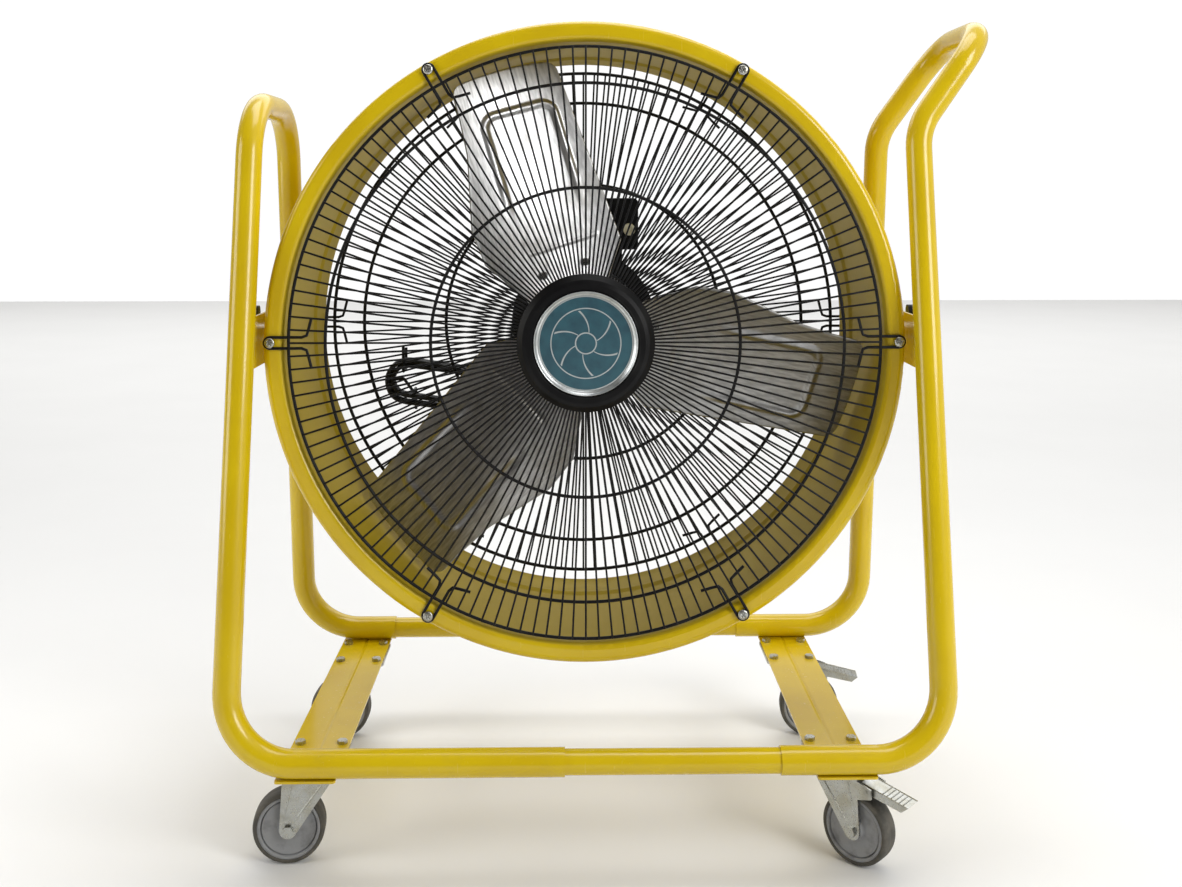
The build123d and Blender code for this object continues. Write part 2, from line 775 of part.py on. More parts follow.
blade_root_r = 62.0
rivet_r_out = 104.0
rivet_half = 34.0
tip_arc = 11.5
blade_angles = [first_blade_angle + 360 / blade_count * i for i in range(blade_count)]
for number, angle in enumerate(blade_angles, 1):
    with BuildPart() as blade:
        with BuildSketch(section_plane(angle, blade_root_r)):
            camber_strip(-blade_t / 2, blade_t / 2)
        extrude(amount=blade_tip_r - blade_root_r)
        with BuildSketch(radial_plane(angle)):
            with BuildLine():
                Polyline(
                    (blade_tip_r * cos(radians(tip_arc)), blade_tip_r * sin(radians(tip_arc))),
                    (320, 91),
                    (210, 116),
                    (150, 112),
                    (blade_root_r, 62),
                    (blade_root_r, -56),
                    (122, -98),
                    (170, -95),
                    (336, -84),
                    (blade_tip_r * cos(radians(tip_arc - 1)), -blade_tip_r * sin(radians(tip_arc - 1))),
                )
                ThreePointArc(
                    (blade_tip_r * cos(radians(tip_arc - 1)), -blade_tip_r * sin(radians(tip_arc - 1))),
                    (blade_tip_r, 0),
                    (blade_tip_r * cos(radians(tip_arc)), blade_tip_r * sin(radians(tip_arc))),
                )
            make_face()
            with PolarLocations(0, 1):
                with Locations((rivet_r_out, rivet_half), (rivet_r_out, -rivet_half)):
                    Circle(rivet_r + running_gap, mode=Mode.SUBTRACT)
        extrude(amount=120, both=True, mode=Mode.INTERSECT)
    finish(blade.part, f"blade_{number}")

with BuildPart() as fan_hub:
    with BuildSketch(rear_plane(hub_front_y)):
        Circle(hub_r)
    extrude(amount=hub_rear_y - hub_front_y)
    for angle in blade_angles:
        with BuildSketch(section_plane(angle, arm_from_r)) as arm_section:
            camber_strip(-blade_t / 2 - arm_t, -blade_t / 2)
            with Locations((0, -fan_y)):
                Rectangle(2 * arm_half_width, 170, mode=Mode.INTERSECT)
        extrude(amount=arm_to_r - arm_from_r)
    for angle in blade_angles:
        with BuildSketch(radial_plane(angle)):
            with Locations((rivet_r_out, rivet_half), (rivet_r_out, -rivet_half)):
                Circle(rivet_r + running_gap)
        extrude(amount=120, both=True, mode=Mode.SUBTRACT)
    with BuildSketch(rear_plane(0)):
        Circle(shaft_r + running_gap)
    extrude(amount=120, both=True, mode=Mode.SUBTRACT)
finish(fan_hub.part, "fan_hub")

# Rivets lie along the drum axis through blade and arm, with a flat head on each side.
rivet_head_r = 6.0
with BuildPart() as blade_rivets:
    for angle in blade_angles:
        for v in (rivet_half, -rivet_half):
            pitch = radians(blade_pitch)
            depth = sqrt(blade_camber_r**2 - (v + blade_camber_r * sin(pitch)) ** 2)
            middle = -fan_y + blade_camber_r * cos(pitch) - depth
            face = radial_plane(angle).offset(middle)
            with BuildSketch(face):
                with Locations((rivet_r_out, v)):
                    Circle(rivet_r)
            extrude(amount=blade_t + 3)
            with BuildSketch(face):
                with Locations((rivet_r_out, v)):
                    Circle(rivet_r)
            extrude(amount=-(arm_t + blade_t + 3))
            for end, way in ((blade_t + 3, 1), (-(arm_t + blade_t + 3), -1)):
                with BuildSketch(face.offset(end)):
                    with Locations((rivet_r_out, v)):
                        Circle(rivet_head_r)
                extrude(amount=way * 2.5)
finish(blade_rivets.part, "blade_rivets")


# ---------------------------------------------------------------- control box
# Moulded box screwed to the tongue, closed by a lid that faces the fan, with a blanking plug in the
# lid's spare hole and the cord gland in its back.
box_front_y = plate_y - box_depth
lid_t = 3.0
box_mid_z = box_low_z + box_height / 2


def box_face(y):
    """Plane of the box's outline at depth y, looking out of the air outlet."""
    return Plane(origin=(box_x, y, box_mid_z), x_dir=(1, 0, 0), z_dir=(0, -1, 0))


with BuildPart() as junction_box:
    with BuildSketch(box_face(plate_y)):
        RectangleRounded(box_width, box_height, 8)
    extrude(amount=box_depth - lid_t)
    with BuildSketch(box_face(plate_y - box_wall)):
        RectangleRounded(box_width - 2 * box_wall, box_height - 2 * box_wall, 5)
    extrude(amount=box_depth, mode=Mode.SUBTRACT)
    with BuildSketch(box_face(plate_y)):
        with Locations((gland_x - box_x, gland_z - box_mid_z)):
            Circle(gland_r + seat_gap)
    extrude(amount=box_wall, mode=Mode.SUBTRACT)
finish(junction_box.part, "junction_box")

with BuildPart() as box_lid:
    with BuildSketch(box_face(box_front_y + lid_t)):
        RectangleRounded(box_width, box_height, 8)
        with Locations((blank_x - box_x, blank_z - box_mid_z)):
            Circle(blank_r - 2 + seat_gap, mode=Mode.SUBTRACT)
    extrude(amount=lid_t)
    with BuildSketch(box_face(box_front_y + lid_t)):
        RectangleRounded(box_width - 2 * box_wall - 0.6, box_height - 2 * box_wall - 0.6, 4.7)
        RectangleRounded(box_width - 2 * box_wall - 5, box_height - 2 * box_wall - 5, 3, mode=Mode.SUBTRACT)
    extrude(amount=-4)
finish(box_lid.part, "box_lid")

blank_plane = Plane(origin=(blank_x, box_front_y, blank_z), x_dir=(1, 0, 0), z_dir=(0, -1, 0))
with BuildPart() as blanking_plug:
    with BuildSketch(blank_plane):
        Circle(blank_r)
    extrude(amount=3)
    fillet(blanking_plug.faces().sort_by(Axis.Y)[0].edges(), 1.5)
    with BuildSketch(blank_plane):
        Circle(blank_r - 2)
    extrude(amount=-(lid_t + 4))
    with BuildSketch(blank_plane.offset(3)):
        Circle(blank_r - 5)
    extrude(amount=-1.5, mode=Mode.SUBTRACT)
finish(blanking_plug.part, "blanking_plug")

gland_plane = Plane(origin=(gland_x, plate_y, gland_z), x_dir=(1, 0, 0), z_dir=(0, 1, 0))
gland_end_y = rear_guard_y + gland_out
with BuildPart() as cable_gland:
    with BuildSketch(gland_plane.offset(-box_wall - 6)):
        Circle(gland_r)
    extrude(amount=box_wall + 6 + plate_t + 4)
    with BuildSketch(gland_plane.offset(plate_t)):
        RegularPolygon(gland_r + 1, 6, major_radius=False)
    extrude(amount=9)
    with BuildSketch(gland_plane.offset(plate_t + 9)):
        Circle(gland_r)
    extrude(amount=gland_end_y - plate_y - plate_t - 9, taper=10)
finish(cable_gland.part, "cable_gland")

# ---------------------------------------------------------------- tilt studs and knobs
# A boss with a threaded stud stands on each side of the shell, runs through the pivot plate's boss
# and carries a star knob.
stud_boss_r = 14.0
stud_end = pivot_boss_out + 24.0
with BuildPart() as pivot_studs:
    for sign in sides.values():
        with BuildSketch(Plane(origin=(sign * (shell_r - 4), 0, axis_z), z_dir=(sign, 0, 0))):
            Circle(stud_boss_r)
        extrude(amount=pivot_plate_x - 0.3 - shell_r + 4)
        with BuildSketch(Plane(origin=(sign * (shell_r - 4), 0, axis_z), z_dir=(sign, 0, 0))):
            Circle(stud_r)
        extrude(amount=stud_end - shell_r + 4)
    with Locations(Plane(origin=(0, 0, axis_z), z_dir=(0, 1, 0))):
        Cylinder(shell_outer_r + 0.02, 60, mode=Mode.SUBTRACT)
finish(pivot_studs.part, "pivot_studs")

knob_lobes = 5
for side, sign in sides.items():
    knob_plane = Plane(origin=(sign * (pivot_boss_out + 0.3), 0, axis_z), x_dir=(0, 0, 1), z_dir=(sign, 0, 0))
    with BuildPart() as tilt_knob:
        with BuildSketch(knob_plane):
            Circle(pivot_boss_r + 2)
        extrude(amount=6)
        with BuildSketch(knob_plane.offset(3)):
            Circle(knob_r - 6)
            with PolarLocations(knob_r - 3, knob_lobes):
                Circle(10)
        extrude(amount=knob_length - 3)
        fillet(tilt_knob.faces().sort_by(Axis.X)[-1 if sign > 0 else 0].edges(), 3)
        with BuildSketch(knob_plane):
            Circle(stud_r + running_gap)
        extrude(amount=stud_end - pivot_boss_out + 1, mode=Mode.SUBTRACT)
    finish(tilt_knob.part, f"tilt_knob_{side}")

# ---------------------------------------------------------------- cord hooks
# Two bent wires welded to the rear guard; the hank's upper side hangs on one and its lower side is
# held down by the other.
guard_back_y = rear_guard_y + ring_w - weld_depth + rear_wire_w
hook_root_y = guard_back_y + hook_r + running_gap
coil_front_y = hook_root_y + hook_r + 0.5
coil_y = coil_front_y + coil_depth / 2
hook_tip_y = coil_front_y + coil_depth + hook_r + 1
upper_hook_x = -304.0
lower_hook_x = -287.0
slope = sin(radians(coil_tilt)) / cos(radians(coil_tilt))
coil_reach = (coil_half_height - coil_bundle / 2) / cos(radians(coil_tilt))
hook_seat = hook_r / cos(radians(coil_tilt)) + 0.1
upper_hook_z = coil_z + (upper_hook_x - coil_x) * slope + coil_reach - hook_seat
lower_hook_z = coil_z + (lower_hook_x - coil_x) * slope - coil_reach + hook_seat
upper_hook_route = [
    (upper_hook_x, hook_root_y, upper_hook_z + 44),
    (upper_hook_x, hook_root_y, upper_hook_z),
    (upper_hook_x, hook_tip_y, upper_hook_z),
    (upper_hook_x, hook_tip_y, upper_hook_z + 36),
]
lower_hook_route = [
    (lower_hook_x - 36, hook_root_y, lower_hook_z + 20),
    (lower_hook_x - 16, hook_root_y, lower_hook_z + 22),
    (lower_hook_x, hook_root_y, lower_hook_z),
    (lower_hook_x, hook_tip_y, lower_hook_z),
    (lower_hook_x, hook_tip_y, lower_hook_z - 36),
]
with BuildPart() as cord_hooks:
    for route in (upper_hook_route, lower_hook_route):
        with BuildLine() as hook_line:
            FilletPolyline(*route, radius=hook_r + 1.5)
        with BuildSketch(Plane(origin=hook_line.line @ 0, z_dir=hook_line.line % 0)):
            Circle(hook_r)
        sweep(path=hook_line.line)
finish(cord_hooks.part, "cord_hooks")

# ---------------------------------------------------------------- supply cord
# A straight-ended rubber cord from the gland to the hank, the hank as one closed ring, and the plug.
cord_route = [
    (gland_x, gland_end_y, gland_z),
    (gland_x - 4, gland_end_y + 76, gland_z - 6),
    (gland_x - 58, gland_end_y + 84, gland_z - 86),
    (gland_x - 92, gland_end_y + 62, gland_z - 172),
    (gland_x - 160, coil_y + 32, coil_z + 42),
    (coil_x + 36, coil_y + 2, coil_z + 22),
]
cord_radii = []
for before, here, after in zip(cord_route, cord_route[1:], cord_route[2:]):
    arriving = Vector(*here) - Vector(*before)
    leaving = Vector(*after) - Vector(*here)
    half_turn = radians(arriving.get_angle(leaving) / 2)
    cord_radii.append(round(0.45 * min(arriving.length, leaving.length) / (sin(half_turn) / cos(half_turn)), 1))
print("cord bend radii", cord_radii)
with BuildPart() as power_cord:
    with BuildLine() as cord_line:
        FilletPolyline(*cord_route, radius=cord_radii)
    with BuildSketch(Plane(origin=cord_line.line @ 0, z_dir=cord_line.line % 0)):
        Circle(cord_d / 2)
    sweep()
cord_length = sum(edge.length for edge in cord_line.edges())
print("cord length", round(cord_length, 1))
print("cord volume", round(power_cord.part.volume), round(cord_length * 3.14159 * cord_d**2 / 4))
finish(power_cord.part, "power_cord")

with BuildPart() as cord_coil:
    hank_plane = Plane(origin=(coil_x, coil_y, coil_z), x_dir=(1, 0, 0), z_dir=(0, -1, 0))
    with BuildSketch(hank_plane.offset(-coil_depth / 2)):
        with Locations(Location((0, 0), coil_tilt)):
            SlotOverall(2 * coil_half_width + coil_bundle, 2 * coil_half_height + coil_bundle)
            SlotOverall(
                2 * coil_half_width - coil_bundle, 2 * coil_half_height - coil_bundle, mode=Mode.SUBTRACT
            )
    extrude(amount=coil_depth)
    fillet(cord_coil.edges().filter_by(lambda e: abs((e @ 0).Y - (e @ 1).Y) < 0.001), 6)
finish(cord_coil.part, "cord_coil")

plug_lean = 53.0
plug_aim = (sin(radians(180 - plug_lean)), 0, cos(radians(180 - plug_lean)))
plug_across = (-plug_aim[2], 0, plug_aim[0])
plug_start = Vector(coil_x + 56, coil_y - 8, coil_z - 34)
relief_length = 34.0
plug_length = 34.0
pin_length = 19.0
with BuildPart() as power_plug:
    with BuildSketch(Plane(origin=plug_start + Vector(*plug_aim) * relief_length, x_dir=plug_across, z_dir=plug_aim)):
        Circle(6.5)
    extrude(amount=-relief_length, taper=2)
    with BuildSketch(Plane(origin=plug_start + Vector(*plug_aim) * relief_length, x_dir=plug_across, z_dir=plug_aim)):
        RectangleRounded(34, 26, 8)
    extrude(amount=plug_length, taper=4)
    pin_origin = plug_start + Vector(*plug_aim) * (relief_length + plug_length)
    with BuildSketch(Plane(origin=pin_origin, x_dir=plug_across, z_dir=plug_aim)):
        with Locations((-9.5, 0), (9.5, 0)):
            Circle(2.4)
    extrude(amount=pin_length)
finish(power_plug.part, "power_plug")
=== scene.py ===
import bpy
import json
from math import cos, hypot, pi, radians, sin, sqrt
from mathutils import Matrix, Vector


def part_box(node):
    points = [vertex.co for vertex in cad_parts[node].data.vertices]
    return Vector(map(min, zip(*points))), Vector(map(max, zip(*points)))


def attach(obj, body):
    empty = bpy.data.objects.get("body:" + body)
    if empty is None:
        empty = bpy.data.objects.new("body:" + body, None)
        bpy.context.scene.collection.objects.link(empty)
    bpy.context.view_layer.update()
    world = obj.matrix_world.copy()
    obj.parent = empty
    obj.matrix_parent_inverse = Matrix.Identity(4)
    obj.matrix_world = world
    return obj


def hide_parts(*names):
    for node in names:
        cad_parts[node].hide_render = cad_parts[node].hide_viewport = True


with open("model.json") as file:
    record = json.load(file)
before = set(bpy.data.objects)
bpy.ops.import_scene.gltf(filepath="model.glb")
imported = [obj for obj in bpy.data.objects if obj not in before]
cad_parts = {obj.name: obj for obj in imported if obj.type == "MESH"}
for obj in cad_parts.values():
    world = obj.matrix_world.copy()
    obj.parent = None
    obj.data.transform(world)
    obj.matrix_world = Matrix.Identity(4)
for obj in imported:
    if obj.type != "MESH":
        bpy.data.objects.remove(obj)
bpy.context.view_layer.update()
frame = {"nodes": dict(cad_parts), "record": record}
nodes = frame["nodes"]

# ------------------------------------------------------------------ yellow tubular frame
# Two bent 38 mm steel tubes, joined by cross tubes and two cross plates, welded, then dipped in one
# coat of glossy yellow enamel.  The enamel has orange peel, thin brush-off at the feet and road dust.
FRAME_NODES = (
    "side_frame_left", "side_frame_right", "front_cross_tube", "rear_cross_tube",
    "cross_plate_left", "cross_plate_right",
)
ENAMEL = (0.67, 0.482, 0.0015)
ENAMEL_THIN = (0.60, 0.415, 0.0015)
ROAD_DUST = (0.30, 0.22, 0.06)
# Darker yellow for the drum's inside: thin matte overspray, with painted shade darkening it.
OVERSPRAY_AND_SHADE = (0.46, 0.325, 0.003)


class Wire:
    """A shader socket that adds, subtracts, multiplies and divides like a number."""

    def __init__(self, tree, socket=None):
        self.tree = tree
        self.socket = socket

    def node(self, kind, settings=None, inputs=None, out=0):
        made = self.tree.nodes.new("ShaderNode" + kind)
        for key, value in (settings or {}).items():
            if key == "stops":
                ramp = made.color_ramp
                while len(ramp.elements) < len(value):
                    ramp.elements.new(0.5)
                for element, (place, colour) in zip(ramp.elements, value):
                    element.position = place
                    element.color = (*colour, 1)
            else:
                setattr(made, key, value)
        for key, value in (inputs or {}).items():
            slot = made.inputs[key]
            if isinstance(value, Wire):
                self.tree.links.new(value.socket, slot)
            elif isinstance(value, tuple) and slot.type == "RGBA":
                slot.default_value = (*value, 1)
            else:
                slot.default_value = value
        return Wire(self.tree, made.outputs[out] if len(made.outputs) else None)

    def maths(self, operation, first, second):
        return self.node("Math", {"operation": operation}, {0: first, 1: second})

    def __add__(self, other):
        return self.maths("ADD", self, other)

    def __radd__(self, other):
        return self.maths("ADD", other, self)

    def __sub__(self, other):
        return self.maths("SUBTRACT", self, other)

    def __rsub__(self, other):
        return self.maths("SUBTRACT", other, self)

    def __mul__(self, other):
        return self.maths("MULTIPLY", self, other)

    def __rmul__(self, other):
        return self.maths("MULTIPLY", other, self)

    def __truediv__(self, other):
        return self.maths("DIVIDE", self, other)

    def __rtruediv__(self, other):
        return self.maths("DIVIDE", other, self)

    def step(self, low, high):
        """0 below low, 1 above high, smooth between."""
        limits = {"Value": self, "From Min": low, "From Max": high}
        return self.node("MapRange", {"interpolation_type": "SMOOTHSTEP"}, limits)

    def tint(self, low, high):
        """A colour that runs from low to high as this value runs from 0 to 1."""
        return self.node("Mix", {"data_type": "RGBA"}, {0: self, 6: low, 7: high}, 2)

    def place(self, scale=(1, 1, 1), move=(0, 0, 0)):
        """The point on the object, in metres, moved and then scaled."""
        spot = self.node("TexCoord", out=3)
        moves = {"Vector": spot, "Location": move, "Scale": scale}
        return spot.node("Mapping", {"vector_type": "POINT"}, moves)

    def noise(self, place, scale, detail=3.0, rough=0.5):
        grain = {"Vector": place, "Scale": scale, "Detail": detail, "Roughness": rough}
        return self.node("TexNoise", {}, grain)


def finish_named(name):
    material = bpy.data.materials.new(name)
    material.use_nodes = True
    material.node_tree.nodes.clear()
    return material, Wire(material.node_tree)


def close(wire, looks, height=None, depth=0.0002):
    """Ends a material: a principled surface, bumped by a height from 0 to 1 over a depth in metres."""
    inputs = dict(looks)
    if height is not None:
        inputs["Normal"] = wire.node("Bump", {}, {"Height": height, "Strength": 1.0, "Distance": depth})
    body = wire.node("BsdfPrincipled", {}, inputs)
    wire.node("OutputMaterial", {}, {"Surface": body})


def dress(material, *names):
    """Gives carried-over CAD nodes a finish."""
    for name in names:
        for slot in nodes[name].material_slots:
            slot.material = material


def enamel(name, chalk, bore=None):
    """Sprayed yellow enamel: chalk is its dust, bore the radius and height of a drum's inside, where the
    paint is darkened as painted shade and made matte like thin overspray.
    """
    material, wire = finish_named(name)
    place = wire.place()
    cloud = wire.noise(place, 7.0, 4.0)
    fleck = wire.noise(place, 160.0, 2.0)
    height_z = wire.node("SeparateXYZ", {}, {"Vector": place}, 2)
    low = 1 - height_z.step(0.02, 0.34)
    dust = (low * 0.16 + chalk) * wire.noise(place, 24.0, 5.0, 0.7).step(0.50, 0.80)
    paint = cloud.step(0.30, 0.72).tint(ENAMEL_THIN, ENAMEL)
    inside_shade_and_overspray = cloud * 0.0
    if bore:
        centred = wire.place((1, 1, 1), (0, 0, -bore[1]))
        out_x = wire.node("SeparateXYZ", {}, {"Vector": centred}, 0)
        out_z = wire.node("SeparateXYZ", {}, {"Vector": centred}, 2)
        reach = wire.node("Math", {"operation": "SQRT"}, {0: out_x * out_x + out_z * out_z})
        faces = wire.node("TexCoord", out=1)
        faces_x = wire.node("SeparateXYZ", {}, {"Vector": faces}, 0)
        faces_z = wire.node("SeparateXYZ", {}, {"Vector": faces}, 2)
        inward = (faces_x * out_x + faces_z * out_z) / reach
        # Inside the drum this mask darkens the colour as painted shade, and raises roughness and drops the
        # coat for thin overspray.
        inside_shade_and_overspray = (1 - inward.step(-0.5, -0.2)) * (1 - reach.step(bore[0], bore[0] + 0.002))
        paint = inside_shade_and_overspray.tint(paint, OVERSPRAY_AND_SHADE)
    rub = wire.noise(wire.place((1, 1, 0.08)), 260.0, 2.0).step(0.62, 0.80)
    peel = wire.noise(place, 520.0, 2.0)
    ripple = wire.noise(place, 60.0, 2.0)
    close(
        wire,
        {
            "Base Color": dust.tint(paint, ROAD_DUST),
            "Roughness": 0.21 + dust * 0.40 + rub * 0.08 + fleck * 0.05 + inside_shade_and_overspray * 0.34,
            "Coat Weight": (0.35 - dust * 0.3) * (1 - inside_shade_and_overspray),
            "Coat Roughness": 0.10,
            "IOR": 1.5,
            "Specular IOR Level": 0.38,
        },
        peel * 0.35 + ripple * 0.9,
        0.00014,
    )
    return material


frame_enamel = enamel("frame yellow enamel", 0.03)
dress(frame_enamel, *FRAME_NODES)

# ------------------------------------------------------------------ pivot plates and their welds
# Laser-cut 4 mm plates between the legs of each side, painted with the frame.  They are joined to
# the legs by hand-run fillet welds, whose ripples show through the paint.
plate_enamel = enamel("pivot plate enamel", 0.10)
dress(plate_enamel, "pivot_plate_left", "pivot_plate_right")
BEAD_R = 0.0032
BEAD_STEP = 0.0026


def new_piece(data, name, material, body):
    piece = bpy.data.objects.new(name, data)
    bpy.context.scene.collection.objects.link(piece)
    data.materials.append(material)
    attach(piece, body)
    return piece


def new_line(name, runs, thickness, material, body, closed=False, smooth=3):
    """Round wires: each run is a list of (point, radius factor)."""
    line = bpy.data.curves.new(name, "CURVE")
    line.dimensions = "3D"
    line.bevel_depth = thickness / 2
    line.bevel_resolution = smooth
    line.use_fill_caps = True
    for run in runs:
        spline = line.splines.new("POLY")
        spline.points.add(len(run) - 1)
        spline.use_cyclic_u = closed
        for target, (point, factor) in zip(spline.points, run):
            target.co = (*point, 1)
            target.radius = factor
    return new_piece(line, name, material, body)


bead_runs = []
for side in ("left", "right"):
    low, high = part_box("pivot_plate_" + side)
    sign = -1 if side == "left" else 1
    inner_x = low[0] if sign > 0 else high[0]
    outer_x = inner_x + sign * 0.004
    for end in (-1, 1):
        foot_half = abs(low[1])
        lean = 145.0 / 868.0
        run = []
        count = int((high[2] - low[2]) / BEAD_STEP)
        for i in range(count):
            z = low[2] + (i + 0.5) * BEAD_STEP
            y = end * (foot_half + 0.0016 - (z - low[2]) * lean)
            wander = 0.0005 * sin(i * 1.9)
            run.append(((inner_x - sign * 0.0003, y + wander, z), 1.0 if i % 2 else 0.72))
        bead_runs.append(run)
        bead_runs.append([((outer_x + sign * 0.0003, p[1], p[2]), r) for p, r in run])
new_line("pivot_plate_welds", bead_runs, 2 * BEAD_R, plate_enamel, "frame")

# ------------------------------------------------------------------ zinc-plated hardware
# Pressed castor forks, plates, pedals, bolts and screws in bright zinc, passivated, so the plating
# has faint yellow and blue clouds and dull spangles.
ZINC = (0.47, 0.48, 0.46)
ZINC_WARM = (0.40, 0.39, 0.33)
ZINC_DULL = (0.16, 0.16, 0.15)
zinc, wire = finish_named("passivated zinc")
place = wire.place()
spangle = wire.node("TexVoronoi", {"feature": "F1"}, {"Vector": place, "Scale": 340.0}, 0)
bloom = wire.noise(place, 46.0, 4.0)
stain = wire.noise(place, 15.0, 5.0, 0.65).step(0.52, 0.78)
scuff = wire.noise(wire.place((1, 1, 0.15)), 420.0, 2.0)
close(
    wire,
    {
        "Base Color": (stain * 0.6).tint(bloom.step(0.35, 0.7).tint(ZINC, ZINC_WARM), ZINC_DULL),
        "Metallic": 1.0,
        "Roughness": 0.22 + spangle * 0.14 + stain * 0.22,
    },
    scuff * 0.6 + spangle * 0.2,
    0.00004,
)
ZINC_NODES = ["castor_plates", "castor_kingpins", "castor_bolts", "motor_bolts", "blade_rivets"]
for corner in ("front_left", "front_right", "rear_left", "rear_right"):
    ZINC_NODES += ["castor_fork_" + corner, "castor_axle_" + corner]
ZINC_NODES += ["brake_pedal_front_right", "brake_pedal_rear_right", "pivot_studs"]
dress(zinc, *ZINC_NODES)

# ------------------------------------------------------------------ castor wheels
# Moulded grey polypropylene centre with a turned line, and a grey-brown rubber tread moulded onto
# it, with fine mould flash and floor scuffs.
TREAD = (0.060, 0.056, 0.045)
TREAD_DUSTY = (0.115, 0.105, 0.085)
CENTRE = (0.26, 0.265, 0.27)
CENTRE_DARK = (0.17, 0.17, 0.175)
tread_rubber, wire = finish_named("grey rubber tread")
place = wire.place()
grime = wire.noise(place, 38.0, 5.0, 0.65)
grain = wire.noise(place, 900.0, 2.0)
close(
    wire,
    {"Base Color": grime.step(0.40, 0.72).tint(TREAD, TREAD_DUSTY), "Roughness": 0.62 + grime * 0.22},
    grain * 0.6 + grime * 0.6,
    0.0003,
)
wheel_centre, wire = finish_named("moulded wheel centre")
place = wire.place()
smear = wire.noise(place, 52.0, 4.0, 0.6)
grain = wire.noise(place, 1100.0, 2.0)
close(
    wire,
    {"Base Color": smear.step(0.42, 0.75).tint(CENTRE, CENTRE_DARK), "Roughness": 0.42 + smear * 0.2},
    grain,
    0.00005,
)
WHEEL_R = 0.050
CENTRE_PROFILE = (
    (0.0125, 0.0180), (0.0140, 0.0175), (0.0150, 0.0130), (0.0165, 0.0118), (0.0365, 0.0126),
    (0.0372, 0.0132), (0.0374, 0.0088), (0.0387, 0.0088), (0.0390, 0.0146), (0.0400, 0.0152),
    (0.0432, 0.0152), (0.0436, 0.0146),
)
TREAD_PROFILE = (
    (0.0434, 0.0152), (0.0442, 0.0158), (0.0462, 0.0160), (0.0479, 0.0153), (0.0491, 0.0136),
    (0.0498, 0.0105),
    (WHEEL_R, 0.0060), (WHEEL_R, 0.0010), (WHEEL_R - 0.0003, 0.0),
)
TURNS = 72


def turned(name, profile, centre, axle):
    """A mesh turned about an axle: the profile's points are (radius, distance along the axle)."""
    axle = Vector(axle).normalized()
    first = axle.orthogonal().normalized()
    second = axle.cross(first)
    points = []
    for r, along in profile:
        for k in range(TURNS):
            step = 2 * pi * k / TURNS
            outward = first * cos(step) + second * sin(step)
            points.append(tuple(Vector(centre) + axle * along + outward * r))
    faces = []
    for row in range(len(profile) - 1):
        for k in range(TURNS):
            a, b = row * TURNS + k, row * TURNS + (k + 1) % TURNS
            faces.append((a, b, b + TURNS, a + TURNS))
    mesh = bpy.data.meshes.new(name)
    mesh.from_pydata(points, [], faces)
    mesh.polygons.foreach_set("use_smooth", [True] * len(mesh.polygons))
    mesh.update()
    return mesh


joints = {joint["name"]: joint for joint in frame["record"]["behaviour"]["joints"]}
for corner in ("front_left", "front_right", "rear_left", "rear_right"):
    roll = joints[corner + "_roll"]
    both_faces = CENTRE_PROFILE + tuple((r, -along) for r, along in reversed(CENTRE_PROFILE))
    both_treads = TREAD_PROFILE + tuple((r, -along) for r, along in reversed(TREAD_PROFILE[:-1]))
    bore = ((0.0041, 0.0180),) + both_faces + ((0.0041, -0.0180), (0.0041, 0.0180))
    centre = new_piece(
        turned("wheel_centre_" + corner, bore, roll["pos_m"], roll["axis"]),
        "wheel_centre_" + corner, wheel_centre, "wheel_" + corner,
    )
    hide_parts("wheel_hub_" + corner)
    closed = both_treads + (both_treads[0],)
    tread = new_piece(
        turned("wheel_tyre_" + corner, closed, roll["pos_m"], roll["axis"]),
        "wheel_tyre_" + corner, tread_rubber, "wheel_" + corner,
    )
    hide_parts("wheel_tread_" + corner)

# Pressed details of the castors: the swivel's race cup, a stiffening rib down each cheek of the fork,
# and foot grips across the brake pedals.
RACE = (
    (0.0150, 0.1262), (0.0235, 0.1262), (0.0256, 0.1275), (0.0262, 0.1300), (0.0248, 0.1325),
    (0.0215, 0.1338), (0.0150, 0.1338), (0.0150, 0.1262),
)
CHEEK_OUT = 0.0215
CHEEK_RIBS = (((-0.016, 0.119), (0.028, 0.062)), ((0.030, 0.119), (0.042, 0.064)))


def castor_frame(corner):
    """Where a castor stands, and the ways along and across its wheel."""
    roll, swivel = joints[corner + "_roll"]["pos_m"], joints[corner + "_swivel"]["pos_m"]
    ahead = Vector((roll[0] - swivel[0], roll[1] - swivel[1], 0)).normalized()
    return Vector((swivel[0], swivel[1], 0)), ahead, Vector((-ahead[1], ahead[0], 0))


for corner in ("front_left", "front_right", "rear_left", "rear_right"):
    foot, ahead, across = castor_frame(corner)
    new_piece(
        turned("race_" + corner, RACE, foot, (0, 0, 1)),
        "race_" + corner, zinc, "castor_" + corner,
    )
    ribs = []
    for face in (-1, 1):
        for start, end in CHEEK_RIBS:
            run = []
            for i in range(13):
                t = i / 12
                spot = foot + ahead * (start[0] + (end[0] - start[0]) * t) + across * (face * CHEEK_OUT)
                height = start[1] + (end[1] - start[1]) * t
                run.append(((spot[0], spot[1], height), 0.3 + 0.7 * sin(pi * t) ** 0.4))
            ribs.append(run)
    new_line("cheek_ribs_" + corner, ribs, 0.0028, zinc, "castor_" + corner)
PEDAL_FROM, PEDAL_TO = 0.048, 0.118
PEDAL_TOP, PEDAL_DROP = 0.119, 0.015


def pedal_height(u):
    return PEDAL_TOP - PEDAL_DROP * (u - PEDAL_FROM) / (PEDAL_TO - PEDAL_FROM)


